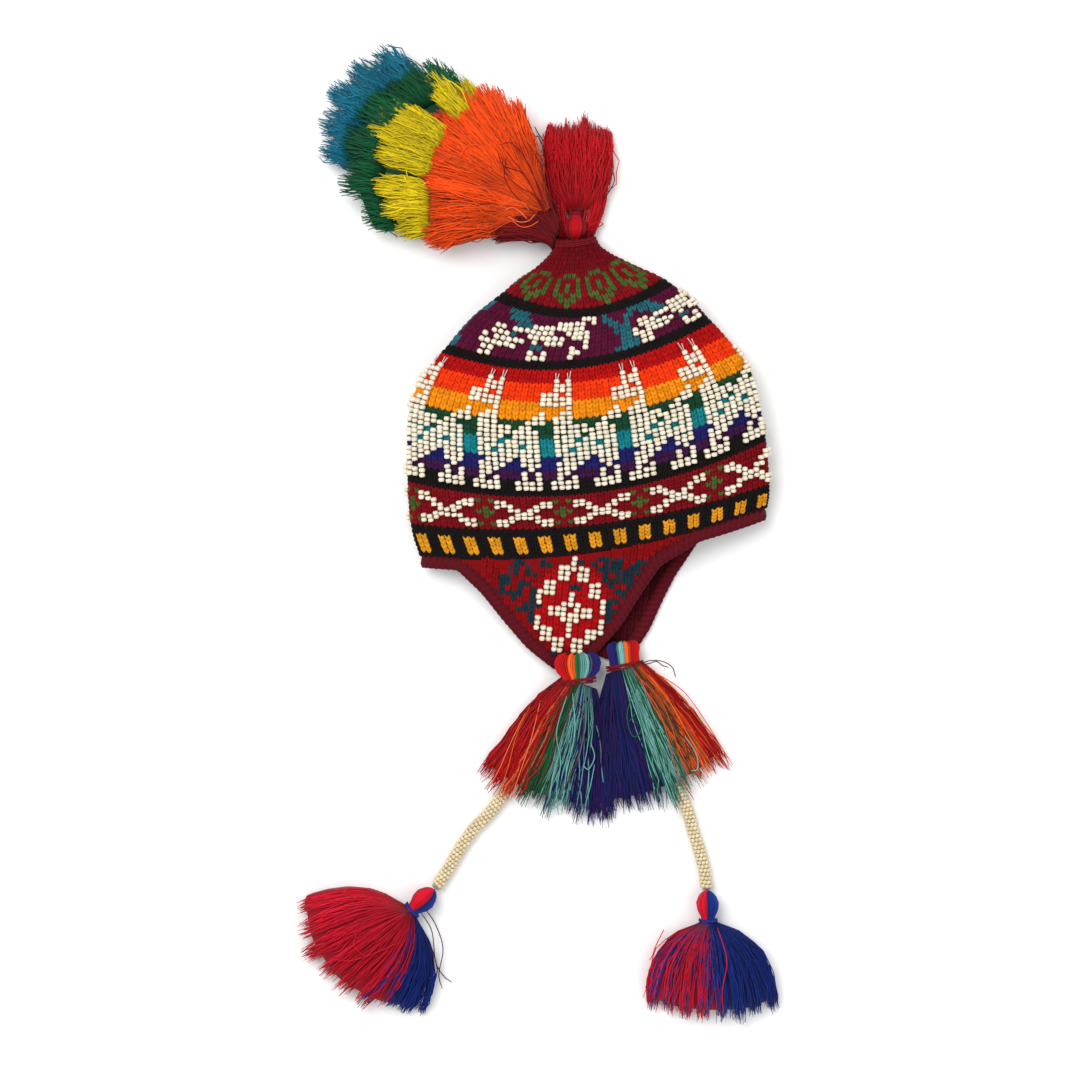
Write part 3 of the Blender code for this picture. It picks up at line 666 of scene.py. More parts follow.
def crown_wall():
    """(points, faces, colours) of an outer and an inner wall, joined at the rim and capped at the neck."""
    u, v = np.meshgrid(np.arange(WALL_COLUMNS) / WALL_COLUMNS, np.arange(ROWS + 1.0))
    outer, _ = on_crown(u, v, np.full(u.shape, -STITCH_RELIEF))
    inner, _ = on_crown(u, v, np.full(u.shape, -KNIT_WALL))
    inner[..., 2] = np.maximum(inner[..., 2], KNIT_WALL * 0.8)
    count = outer.shape[0] * WALL_COLUMNS
    caps = [outer[-1].mean(0), inner[-1].mean(0)]
    points = np.concatenate([outer.reshape(-1, 3), inner.reshape(-1, 3), caps])
    side = grid_faces(ROWS + 1, WALL_COLUMNS, closed=True)
    column = np.arange(WALL_COLUMNS)
    beside = (column + 1) % WALL_COLUMNS
    rim = np.stack([column, column + count, beside + count, beside], -1)
    top = count - WALL_COLUMNS
    cap = np.stack([column + top, beside + top, np.full(WALL_COLUMNS, 2 * count)], -1)
    inner_cap = np.stack([beside + top + count, column + top + count, np.full(WALL_COLUMNS, 2 * count + 1)], -1)
    faces = [side[:, ::-1], side + count, rim[:, ::-1], cap[:, ::-1], inner_cap[:, ::-1]]
    # painted shade: the outer wall is the ground darkened, the inner wall darker still, and the neck caps'
    # middles dark
    colours = row_grounds().repeat(WALL_COLUMNS, 0) * WALL_PAINTED_SHADE
    inside = colours * 0.8
    neck_cap_painted_shade = DYES["crimson"][None] * 0.5
    return points, faces, np.concatenate([colours, inside, neck_cap_painted_shade, neck_cap_painted_shade])


wall_points, wall_faces, wall_colours = crown_wall()
mesh_piece(
    "crown_wall", wall_points, wall_faces, wall_colours, KNIT, ("crown_upper_side", "crown_under_side")
)

# %% [markdown]
# # The stitches
# A knit stitch is a V. Each of its legs is a short ridge: four stations along it and three points across, with
# its edges sunk under the wall. Its ridge is painted lighter as a highlight and its edges darker as painted
# shade. All the legs of a side of the crown are one mesh, made by putting the same small pattern of points at
# every place of the chart.

# %% Stitches
LEG_STEPS = np.array([0.0, 0.34, 0.68, 1.0])
LEG_WIDTHS = np.array([0.16, 0.27, 0.27, 0.13])
LEG_RISE = np.array([-0.15, 1.0, 1.0, 0.1])
LEG_EDGE_RISE = -0.9
LEG_TOP, LEG_FOOT = 0.30, 0.10
LEG_LENGTH = 1.34
STITCH_JITTER = 0.035
# painted light: a leg's ridge is painted lighter as a highlight and its sunk edges darker as shade
RIDGE_PAINTED_HIGHLIGHT, EDGE_PAINTED_SHADE = 1.12, 0.72


def leg_pattern():
    """(across, along, rise) of the points of both legs, and their faces."""
    across, along, rise = [], [], []
    for side in (-1.0, 1.0):
        middle = side * (LEG_TOP + (LEG_FOOT - LEG_TOP) * LEG_STEPS)
        for edge in (-1.0, 0.0, 1.0):
            across.append(middle + edge * LEG_WIDTHS)
            along.append(LEG_LENGTH * (1.0 - LEG_STEPS))
            rise.append(np.full(len(LEG_STEPS), LEG_EDGE_RISE) if edge else LEG_RISE)
    one = grid_faces(3, len(LEG_STEPS), closed=False)
    other = one + 3 * len(LEG_STEPS)
    return np.concatenate(across), np.concatenate(along), np.concatenate(rise), [one, other]


def stitch_piece(name, keep):
    """All the stitches of the crown whose share round it passes the test."""
    across, along, rise, patterns = leg_pattern()
    all_points, all_colours = [], []
    row_start = 0
    rng = np.random.default_rng(5)
    for band, rows, stitches, _, _ in BANDS:
        letters, ground = band_letters(band, rows, stitches)
        colours = letter_colours(letters, ground)
        row, column = np.meshgrid(np.arange(rows), np.arange(stitches), indexing="ij")
        chosen = keep((column + 0.5) / stitches)
        row, column, colours = row[chosen], column[chosen], colours[chosen]
        jitter = rng.normal(0.0, STITCH_JITTER, (len(row), 2))
        size = rng.uniform(0.85, 1.12, len(row))
        u = (column[:, None] + 0.5 + jitter[:, :1] + across) / stitches
        v = row_start + row[:, None] + jitter[:, 1:] + along
        out = rise * STITCH_RELIEF * size[:, None]
        places, _ = on_crown(u, v, out)
        all_points.append(places.reshape(-1, 3))
        shade = colours * rng.uniform(0.82, 1.15, (len(row), 1))
        # painted highlight on each leg's ridge and painted shade on its edges
        ridge = np.where(rise > 0.5, RIDGE_PAINTED_HIGHLIGHT, EDGE_PAINTED_SHADE)
        all_colours.append((shade[:, None, :] * ridge[None, :, None]).reshape(-1, 3))
        row_start += rows
    points = np.concatenate(all_points)
    faces = pattern_faces(patterns, len(points) // len(across), len(across))
    mesh_piece(name, points, faces, np.concatenate(all_colours), KNIT)


stitch_piece("crown_stitches_upper", lambda u: u < 0.5)
stitch_piece("crown_stitches_under", lambda u: u >= 0.5)

# %% [markdown]
# # The seed beads
# A seed bead is a short barrel with a hole. It is turned from five points of a profile. Each is strung on
# the thread of its column, so its hole runs up the column and it touches the beads above and below.

# %% Beads
NEAR_SIDES, FAR_SIDES = 8, 6
BEAD_PROFILE = np.array([[0.34, 0.49], [0.80, 0.42], [1.00, 0.00], [0.80, -0.42], [0.34, -0.49]])
BEAD_RADII = (0.0015, 0.0023)
BEAD_LENGTHS = (0.0020, 0.0036)
BEAD_SHARE = 0.51
BEAD_TOUCH = 0.99
BEAD_SINK = 0.62
BEAD_JITTER = 0.0002
BEAD_TILT = 0.07


def bead_pattern(sides):
    """Points (around, profile) of a unit bead about z, and its faces."""
    turn = (np.arange(sides) * math.tau / sides)[:, None]
    wide, tall = BEAD_PROFILE.T
    points = np.stack([np.cos(turn) * wide, np.sin(turn) * wide, np.ones((sides, 1)) * tall], -1).reshape(-1, 3)
    count = len(BEAD_PROFILE)
    ring = np.arange(sides)[:, None] * count
    after = (np.arange(sides)[:, None] + 1) % sides * count
    step = np.arange(count)
    beside = (step + 1) % count
    faces = np.stack([ring + step, ring + beside, after + beside, after + step], -1).reshape(-1, 4)
    return points, faces


def beads(centres, axes, outs, radius, length, sides):
    """Beads at centres, their holes along axes, sized by radius and length arrays.

    A point of the unit bead is carried to its centre plus its share of the radius sideways and outwards,
    and its share of the length along the hole.
    """
    pattern, one = bead_pattern(sides)
    axes = unit(axes)
    side = unit(np.cross(axes, outs))
    lift = np.cross(side, axes)
    points = (
        centres[:, None]
        + pattern[:, 0, None] * side[:, None] * radius[:, None, None]
        + pattern[:, 1, None] * lift[:, None] * radius[:, None, None]
        + pattern[:, 2, None] * axes[:, None] * length[:, None, None]
    )
    return points.reshape(-1, 3), pattern_faces([one], len(centres), len(pattern)), len(pattern)


def bead_colours(base, count, points_each, rng):
    """Ivory beads that differ a little, a few of them warmer."""
    level = rng.uniform(0.86, 1.08, (count, 1))
    warm = rng.random((count, 1)) ** 3 * np.array([0.0, 0.05, 0.14])
    return (base * level * (1.0 - warm)).repeat(points_each, 0)


def crown_beads(keep):
    """Centres, axes, outward directions and sizes of the crown's beads."""
    found = []
    row_start = 0
    for band, rows, stitches, _, _ in BANDS:
        letters, _ = band_letters(band, rows, stitches)
        row, column = np.nonzero(letters == "b")
        u = (column + 0.5) / stitches
        chosen = keep(u)
        row, column, u = row[chosen], column[chosen], u[chosen]
        v = row_start + row + 0.5
        low, normals = on_crown(u, v - 0.5, np.zeros(len(u)))
        high, _ = on_crown(u, v + 0.5, np.zeros(len(u)))
        left, _ = on_crown(u - 0.5 / stitches, v, np.zeros(len(u)))
        right, _ = on_crown(u + 0.5 / stitches, v, np.zeros(len(u)))
        tall = np.linalg.norm(high - low, axis=1)
        wide = np.linalg.norm(right - left, axis=1)
        radius = np.clip(wide * BEAD_SHARE, *BEAD_RADII)
        centres = (low + high) / 2.0 + normals * (radius * BEAD_SINK)[:, None]
        centres[:, 2] = np.maximum(centres[:, 2], radius)
        found.append((centres, high - low, normals, radius, np.clip(tall * BEAD_TOUCH, *BEAD_LENGTHS)))
        row_start += rows
    return [np.concatenate(group) for group in zip(*found)]


def bead_piece(name, data, base, sides, seed):
    """A piece of beads, each a little off its place and a little off its size."""
    centres, axes, outs, radius, length = data
    rng = np.random.default_rng(seed)
    axes = unit(axes) + rng.normal(0.0, BEAD_TILT, axes.shape)
    centres = centres + rng.normal(0.0, BEAD_JITTER, centres.shape)
    centres[:, 2] = np.maximum(centres[:, 2], radius)
    radius = radius * rng.uniform(0.94, 1.04, len(radius))
    length = length * rng.uniform(0.90, 1.02, len(length))
    points, faces, each = beads(centres, axes, outs, radius, length, sides)
    colours = bead_colours(base, len(centres), each, rng)
    print(name, len(centres), "beads")
    mesh_piece(name, points, faces, colours, BEAD)


bead_piece("crown_beads_upper", crown_beads(lambda u: u < 0.5), DYES["ivory"], NEAR_SIDES, 11)
bead_piece("crown_beads_under", crown_beads(lambda u: u >= 0.5), DYES["ivory"], FAR_SIDES, 12)

# %% [markdown]
# # The ear flaps
# A flap is a thin slab under the rim that narrows to its tip. Its stitches aren't squeezed as it narrows:
# their columns stay parallel and end at its edge, so they are a slanted grid cut off by the outline. The
# near flap shows its right side and the bead medallion, and the far flap its darker wrong side. At the root
# the knitting is a little wider than the flap's solid, so that it meets the border there.

# %% Flap surfaces
GAP = 0.0003
FLAP_WIDTH = 0.145
FLAP_LENGTH = 0.074
UPPER_FLAP_TIP_HEIGHT = 0.0076
FLAP_COLUMNS = 8
UPPER_FLAP_ROOT = (0.148, 0.742)
UPPER_KNIT_ROOT = (0.105, 0.810)
UPPER_FLAP_ROWS = (
    # left_x, left_down, right_x, right_down
    (-0.399, 0.284, 0.361, 0.030),
    (-0.296, 0.540, 0.277, 0.275),
    (-0.192, 0.780, 0.174, 0.600),
    (-0.075, 0.970, 0.045, 0.890),
)
LOWER_FLAP_ROOT = (0.229, 0.735)
LOWER_KNIT_ROOT = (0.170, 0.805)
LOWER_FLAP_ROWS = (
    # left_x, left_down, right_x, right_down
    (-0.239, 0.266, 0.432, 0.138),
    (-0.105, 0.510, 0.370, 0.376),
    (0.030, 0.740, 0.310, 0.640),
    (0.160, 0.870, 0.250, 0.820),
)


def rim_turns(share, upper):
    """The turns at shares of the rim's width, from the arc cosine, on the upper or the under side."""
    angle = np.arccos(np.clip(1.0 - 2.0 * np.asarray(share, float), -1.0, 1.0)) / math.tau
    return angle if upper else 1.0 - angle


def rim_edge(share, upper):
    """The middle of the rim's wall at shares of its width."""
    turn = rim_turns(share, upper)
    outer = crown_place(np.zeros(turn.shape), turn)
    inner = crown_place(np.zeros(turn.shape), turn, KNIT_WALL)
    return (outer + inner) / 2.0


def flap_rows(root, rows, upper):
    """The flap's middle surface: straight rows from its root to its tip, falling towards the table."""
    share = np.linspace(0.0, 1.0, FLAP_COLUMNS + 1)
    at_root = rim_edge(root[0] + (root[1] - root[0]) * share, upper)
    middle = rim_edge(np.array([sum(UPPER_FLAP_ROOT) / 2.0]), True)[0]
    tip = UPPER_FLAP_TIP_HEIGHT if upper else KNIT_WALL / 2.0
    grid = [at_root - np.array([0.0, GAP, 0.0])]
    for i, (left_x, left_down, right_x, right_down) in enumerate(rows):
        fall = ((i + 1) / len(rows)) ** 0.9
        height = at_root[:, 2] + (tip - at_root[:, 2]) * fall
        x = middle[0] + (left_x + (right_x - left_x) * share) * FLAP_WIDTH
        y = middle[1] - (left_down + (right_down - left_down) * share) * FLAP_LENGTH
        grid.append(np.stack([x, y, height], -1))
    return np.stack(grid)


def finer_rows(grid, count):
    """The rows of a grid taken again at more places."""
    at = np.linspace(0.0, len(grid) - 1.0, count)
    low = np.minimum(at.astype(int), len(grid) - 2)
    part = (at - low)[:, None, None]
    return grid[low] * (1 - part) + grid[low + 1] * part


UPPER_FLAP = flap_rows(UPPER_FLAP_ROOT, UPPER_FLAP_ROWS, True)
LOWER_FLAP = flap_rows(LOWER_FLAP_ROOT, LOWER_FLAP_ROWS, False)
UPPER_KNIT = flap_rows(UPPER_KNIT_ROOT, UPPER_FLAP_ROWS, True)
LOWER_KNIT = flap_rows(LOWER_KNIT_ROOT, LOWER_FLAP_ROWS, False)


def slab(top, bottom):
    """A closed solid between two grids of points, facing out."""
    rows, columns = top.shape[:2]
    count = rows * columns
    face = grid_faces(rows, columns, closed=False)
    edge = np.arange(count).reshape(rows, columns)
    ring = np.concatenate([edge[0], edge[1:, -1], edge[-1, -2::-1], edge[-2:0:-1, 0]])
    after = np.roll(ring, -1)
    wall = np.stack([ring, ring + count, after + count, after], -1)
    points = np.concatenate([top.reshape(-1, 3), bottom.reshape(-1, 3)])
    corner = points[face]
    faces_up = np.cross(corner[:, 1] - corner[:, 0], corner[:, 3] - corner[:, 0])[:, 2].sum() > 0
    faces = [face, face[:, ::-1] + count, wall]
    return points, faces if faces_up else [group[:, ::-1] for group in faces]


# %% [markdown]
# # Knitting the flaps
# For each place of the slanted grid inside the outline, the height and slope of the flap are taken from its
# surface, and one V is laid there in its plane. The medallion's middle is column 11 and row 9 of its
# chart, counted from the left and from the bottom.

# %% Flap stitches
FLAP_STITCH = 0.00435
FLAP_ROW = 0.0035
FLAP_TILT = -5.0
MEDALLION_MIDDLE = np.array([0.0229, -0.0480])
MEDALLION = (
    "......t....b..t.tt...tt.",
    "...tt.t....bt.t.ttt.tt..",
    "..ttt.t..bbbbb.t.ttt.tt.",
    ".tt.t....bb.bb..t.ttt...",
    ".t..t....bb.bb..tt.tt...",
    "tt.....bb.....bb.t..t...",
    "t..t...bb..t..bb..t.tt..",
    "t..t.tbbb..b..bb...t....",
    "t.t..tb....b....bt......",
    "..t..tb...bbb...bt......",
    "....tt..bbb.bbb.btt.....",
    "...ttt..bbbbbbb..tt.....",
    ".....tb...bbb...btt.....",
    ".....tb....b....b.......",
    "......bbb..b..bbb.......",
    ".......bb..b..bb........",
    ".......bbbb.bbbb........",
    ".........bb.bb..........",
    ".........bb.bb..........",
    ".......t.t....t.........",
)
MEDALLION_COLUMN, MEDALLION_ROW = 11, 9
MEDALLION_OVAL = (5.6, 8.2)
OUTSIDE_SHADE = 0.62
MEDALLION_BEAD_RADIUS = 0.00215
FAR_SPOTS = (
    (4, -3), (5, -3), (4, -4), (9, 1), (10, 1), (10, 2), (6, 4), (7, 4), (8, -1), (3, 2), (12, 5), (11, 5),
)
NEARNESS = 1.5e-6
SLOPE_STEP = 0.003


def inside(points, outline):
    """Whether flat points lie in an outline: a ray from such a point crosses it an odd number of times."""
    x, y = points[:, None, 0], points[:, None, 1]
    ax, ay = outline[:, 0], outline[:, 1]
    bx, by = np.roll(ax, -1), np.roll(ay, -1)
    crosses = (ay > y) != (by > y)
    reach = ax + (y - ay) / np.where(by == ay, 1e-12, by - ay) * (bx - ax)
    return (crosses & (x < reach)).sum(1) % 2 == 1


def heights_at(points, surface):
    """The surface's height near flat points: a mean that weighs its places by nearness to the power of 4."""
    flat = surface.reshape(-1, 3)
    found = []
    for part in np.array_split(points, max(1, len(points) // 400)):
        gap = ((part[:, None] - flat[None, :, :2]) ** 2).sum(-1)
        weight = 1.0 / (gap + NEARNESS) ** 2
        found.append((weight * flat[:, 2]).sum(1) / weight.sum(1))
    return np.concatenate(found)


def flap_lattice(grid, tilt, middle):
    """(columns, rows, flat places, heights, slopes, directions) of the stitches inside a flap."""
    column, row = np.meshgrid(np.arange(-28, 29), np.arange(-26, 32))
    column, row = column.ravel(), row.ravel()
    across = heading(tilt)
    up = heading(tilt + 90.0)
    flat = middle + column[:, None] * FLAP_STITCH * across + row[:, None] * FLAP_ROW * up
    outline = np.concatenate([grid[:, 0, :2], grid[-1, 1:, :2], grid[-2::-1, -1, :2], grid[0, -2:0:-1, :2]])
    kept = inside(flat, outline)
    column, row, flat = column[kept], row[kept], flat[kept]
    surface = finer_rows(grid, 41)
    level = heights_at(flat, surface)
    slopes = []
    for way in (across, up):
        rise = heights_at(flat + SLOPE_STEP * way, surface) - heights_at(flat - SLOPE_STEP * way, surface)
        slopes.append(rise / (2 * SLOPE_STEP))
    slope = np.stack(slopes, -1)
    return column, row, flat, level, slope, across, up


def flap_piece(name, grid, letters_at, ground, other, tilt, middle, relief, stands_for):
    """The slab of a flap with its stitches."""
    rng = np.random.default_rng(21)
    column, row, flat, level, slope, across_way, up_way = flap_lattice(grid, tilt, middle)
    letters = letters_at(column, row)
    across, along, rise, patterns = leg_pattern()
    x = (across + rng.normal(0.0, STITCH_JITTER, (len(flat), 1))) * FLAP_STITCH
    y = (along - 0.5 + rng.normal(0.0, STITCH_JITTER, (len(flat), 1))) * FLAP_ROW
    z = level[:, None] + slope[:, :1] * x + slope[:, 1:] * y + KNIT_WALL / 2.0 + rise * relief
    places = flat[:, None] + x[..., None] * across_way + y[..., None] * up_way
    stitches = lifted(places, z).reshape(-1, 3)
    faces = pattern_faces(patterns, len(flat), len(across))
    fine = finer_rows(grid, 25)
    half = np.array([0.0, 0.0, KNIT_WALL / 2.0])
    base_points, base_faces = slab(fine + half - np.array([0.0, 0.0, relief]), fine - half)
    points, faces = joined([(base_points, base_faces), (stitches, faces)])
    oval = ((column / MEDALLION_OVAL[0]) ** 2 + ((row - 0.5) / MEDALLION_OVAL[1]) ** 2)[:, None]
    ground_here = ground * np.where(oval < 1.0, 1.0, OUTSIDE_SHADE)
    dyes = np.where((letters == "t")[:, None], other, ground_here) * rng.uniform(0.80, 1.15, (len(flat), 1))
    # painted highlight on each leg's ridge and painted shade on its edges
    ridge = np.where(rise > 0.5, RIDGE_PAINTED_HIGHLIGHT, EDGE_PAINTED_SHADE)
    shade = (dyes[:, None] * ridge[None, :, None]).reshape(-1, 3)
    # painted shade: the slab under the stitches is the ground at half, dark in the gaps between stitches
    base = np.repeat((ground * 0.5)[None], len(base_points), 0)
    mesh_piece(name, points, faces, np.concatenate([base, shade]), KNIT, stands_for)


def near_letters(column, row):
    """The medallion chart's letters at places of the grid. Scrolls are thickened on every other row."""
    rows = np.array(chart(MEDALLION))
    at_row = row + MEDALLION_ROW
    at_column = column + MEDALLION_COLUMN
    good = (at_row >= 0) & (at_row < len(rows)) & (at_column >= 0) & (at_column < rows.shape[1])
    picked = rows[np.clip(at_row, 0, len(rows) - 1), np.clip(at_column, 0, rows.shape[1] - 1)]
    beside = rows[np.clip(at_row, 0, len(rows) - 1), np.clip(at_column - 1, 0, rows.shape[1] - 1)]
    picked = np.where((picked == ".") & (beside == "t") & (row % 2 == 0), "t", picked)
    return np.where(good, picked, ".")


def far_letters(column, row):
    """The few spots of the second yarn on the far flap."""
    spots = np.zeros(len(column), bool)
    for spot_column, spot_row in FAR_SPOTS:
        spots |= (column == spot_column) & (row == spot_row)
    return np.where(spots, "t", ".")


flap_piece(
    "near_flap_knit", UPPER_KNIT, near_letters, DYES["flap_red"], DYES["flap_teal"], FLAP_TILT,
    MEDALLION_MIDDLE, STITCH_RELIEF, ("ear_flap_upper",),
)
flap_piece(
    "far_flap_knit", LOWER_KNIT, far_letters, DYES["dark_wine"], DYES["dark_teal"], FLAP_TILT + 180.0,
    MEDALLION_MIDDLE + np.array([0.03, 0.01]), STITCH_RELIEF * 0.8, ("ear_flap_lower",),
)


def medallion_beads():
    """The medallion's beads on the near flap, as centres, axes, outward directions and sizes."""
    lattice = flap_lattice(UPPER_KNIT, FLAP_TILT, MEDALLION_MIDDLE)
    column, row, flat, level, slope, across_way, up_way = lattice
    chosen = near_letters(column, row) == "b"
    flat, level, slope = flat[chosen], level[chosen], slope[chosen]
    radius = np.full(len(flat), MEDALLION_BEAD_RADIUS)
    axes = np.concatenate([np.repeat(up_way[None], len(flat), 0), slope[:, 1:]], -1)
    lean = -slope[:, :1] * across_way - slope[:, 1:] * up_way
    outs = unit(np.concatenate([lean, np.ones((len(flat), 1))], -1))
    centres = lifted(flat, level + KNIT_WALL / 2.0) + outs * (radius * BEAD_SINK)[:, None]
    return centres, axes, outs, radius, np.full(len(flat), FLAP_ROW * BEAD_TOUCH)


bead_piece("medallion_beads", medallion_beads(), DYES["ivory"], NEAR_SIDES, 13)

# %% [markdown]
# # The border
# A round knitted welt goes once round the rim and both flaps, beside the fabric's edge. Its section is a
# flattened oval, carried along the edge with a ripple for each stitch that slants across it. Its colour is
# painted lighter where the stitches swell and darker in the grooves between its ribs, as painted light and
# shade.

# %% Border
BORDER_WIDTH = 0.0088
BORDER_THICKNESS = 0.0044
BORDER_SIDES = 14
BORDER_STITCH = 0.0042
BORDER_SAMPLES = 6
BORDER_OVERLAP = 0.0012
BORDER_SMOOTHING = 10
BORDER_SQUARENESS = 0.7
RIM_STATIONS = (0.0, 0.05, 0.12, 0.22, 0.32, 0.42, 0.52, 0.62, 0.72, 0.80)


def rim_station(share, upper):
    """The rim's edge there and the way its outer side faces."""
    turn = rim_turns(np.array([share]), upper)
    near = np.clip(np.concatenate([turn, turn + 0.004, turn - 0.004]), 0.0, 1.0)
    outer, ahead, behind = crown_place(np.zeros(3), near)
    normal = unit(np.cross([0.0, -1.0, 0.0], ahead - behind))
    if share in (0.0, 1.0):
        normal = np.array([-1.0 if share == 0.0 else 1.0, 0.0, 0.0])
    return outer - normal * KNIT_WALL / 2.0, normal


def fabric_edge():
    """The fabric's edge once round, as (points, outward face normals)."""
    edge = []
    sides = ((True, UPPER_FLAP, UPPER_FLAP_ROOT), (False, LOWER_FLAP, LOWER_FLAP_ROOT))
    for upper, grid, root in sides:
        normal = np.array([0.0, 0.0, 1.0 if upper else -1.0])
        first, last = (0, -1) if upper else (-1, 0)
        near, far = (root[0], 1.0 - root[1]) if upper else (1.0 - root[1], root[0])
        for share in RIM_STATIONS:
            edge.append(rim_station(near * share if upper else 1.0 - near * share, upper))
        edge += [(row[first], normal) for row in grid[1:]]
        edge.append((grid[-1][FLAP_COLUMNS // 2], normal))
        edge += [(row[last], normal) for row in grid[:0:-1]]
        for share in RIM_STATIONS[:0:-1]:
            edge.append(rim_station(1.0 - far * share if upper else far * share, upper))
    return np.array([point for point, _ in edge]), np.array([normal for _, normal in edge])


def border_piece():
    """The welt: an oval section carried along the fabric's edge.

    A place on it is the edge's place, plus the powered cosine of the turn outwards and the powered sine
    through the fabric. A sine along the edge, slanted across it, swells it once for each stitch.
    """
    points, normals = fabric_edge()
    before = unit(points - np.roll(points, 1, 0))
    after = unit(np.roll(points, -1, 0) - points)
    out_before = unit(np.cross(before, normals))
    out_after = unit(np.cross(after, normals))
    out = unit(out_before + out_after)
    mitre = 1.0 / np.maximum(0.6, (out * out_after).sum(-1, keepdims=True))
    centre = points + out * mitre * (BORDER_WIDTH / 2.0 - BORDER_OVERLAP)
    centre[:, 2] = np.maximum(centre[:, 2], BORDER_THICKNESS / 2.0)
    closed = np.concatenate([centre, out, normals], 1)
    closed = np.concatenate([closed, closed[:1]])
    length = lengths_along(closed[:, :3])
    stitches = int(length[-1] / BORDER_STITCH)
    steps = stitches * BORDER_SAMPLES
    at = np.linspace(0.0, length[-1], steps, endpoint=False)
    fine = np.stack([np.interp(at, length, values) for values in closed.T], 1)
    kernel = np.hanning(2 * BORDER_SMOOTHING + 1)
    kernel /= kernel.sum()
    wrapped = np.concatenate([fine[-BORDER_SMOOTHING:], fine, fine[:BORDER_SMOOTHING]])
    fine = np.stack([np.convolve(values, kernel, "valid") for values in wrapped.T], 1)
    centre, out, normal = fine[:, :3], unit(fine[:, 3:6]), unit(fine[:, 6:])
    turn = np.arange(BORDER_SIDES) * math.tau / BORDER_SIDES
    across = np.sign(np.cos(turn)) * np.abs(np.cos(turn)) ** BORDER_SQUARENESS
    through = np.sign(np.sin(turn)) * np.abs(np.sin(turn)) ** BORDER_SQUARENESS
    phase = math.tau * np.arange(steps)[:, None] / BORDER_SAMPLES + 3.0 * across
    ripple = 1.0 + 0.13 * np.sin(phase)
    ribs = 1.0 - 0.16 * np.cos(6.0 * turn)
    rings = (
        centre[:, None]
        + out[:, None] * (across * BORDER_WIDTH / 2.0)[None, :, None] * (1.0 + 0.04 * np.sin(phase))[..., None]
        + normal[:, None] * (through * BORDER_THICKNESS / 2.0 * ribs)[None, :, None] * ripple[..., None]
    )
    rings[..., 2] = np.maximum(rings[..., 2], 0.0)
    faces = grid_faces(steps + 1, BORDER_SIDES, closed=True) % (steps * BORDER_SIDES)
    points = rings.reshape(-1, 3)
    if not faces_out(points, faces, centre[faces[:, 0] // BORDER_SIDES]):
        faces = faces[:, ::-1]
    # painted light and shade: lighter where each stitch swells, darker in the grooves between the ribs
    shade = (0.90 + 0.18 * np.sin(phase)) * (1.0 - 0.30 * np.cos(6.0 * turn))
    colours = (DYES["wine"] * shade[..., None]).reshape(-1, 3)
    print("border length", length[-1], "stitches", stitches)
    mesh_piece("border_welt", points, [faces], colours, KNIT, ("rim_border",))


border_piece()

# %% [markdown]
# # The bead ropes
# A rope of beads crocheted round a thread core. Seven and a half beads make a round, so that each bead lies
# beside a joint of the next round. Its line is a smooth curve on the table from the tie of its tassel to its
# pompom.

# %% Ropes
TIE_DIAMETER = 0.0028
WAIST_LENGTH = TIE_DIAMETER * 1.3
ROPE_DIAMETER = 0.0092
ROPE_ROUND = 7.5
ROPE_BEAD_LENGTH = 0.0027
ROPE_BEAD_RADIUS = 0.00152
ROPE_START, ROPE_STOP = 0.0012, 0.0026
ROPE_SAMPLES = 400
ROPE_CORE_STRIDE = 7
ROPE_CORE_SHARE = 0.30
TIE_SHIFT = 0.0044
UPPER_TIE_HEADING, LOWER_TIE_HEADING = 272.0, 276.0
LEFT_ROPE_ROUTE = (
    (-0.0045, -0.0040), (-0.0130, -0.0180), (-0.0255, -0.0370), (-0.0405, -0.0600), (-0.0585, -0.0856),
    (-0.0714, -0.0992), (-0.0809, -0.1128), (-0.0887, -0.1264), (-0.0975, -0.1395),
)
RIGHT_ROPE_ROUTE = (
    (0.0055, -0.0095), (0.0120, -0.0230), (0.0215, -0.0440), (0.0320, -0.0695), (0.0426, -0.0965),
    (0.0463, -0.1100), (0.0508, -0.1236), (0.0542, -0.1372), (0.0558, -0.1505),
)
UPPER_TIE = UPPER_FLAP[-1, FLAP_COLUMNS // 2, :2] + np.array([TIE_SHIFT, -0.0169])
LOWER_TIE = LOWER_FLAP[-1, FLAP_COLUMNS // 2, :2] + np.array([TIE_SHIFT, -0.0130])
UPPER_END = UPPER_TIE + heading(UPPER_TIE_HEADING) * TIE_DIAMETER
LOWER_END = LOWER_TIE + heading(LOWER_TIE_HEADING) * TIE_DIAMETER
LEFT_ROPE = smooth_path(UPPER_END + np.array(LEFT_ROPE_ROUTE), 24)
RIGHT_ROPE = smooth_path(LOWER_END + np.array(RIGHT_ROPE_ROUTE), 24)


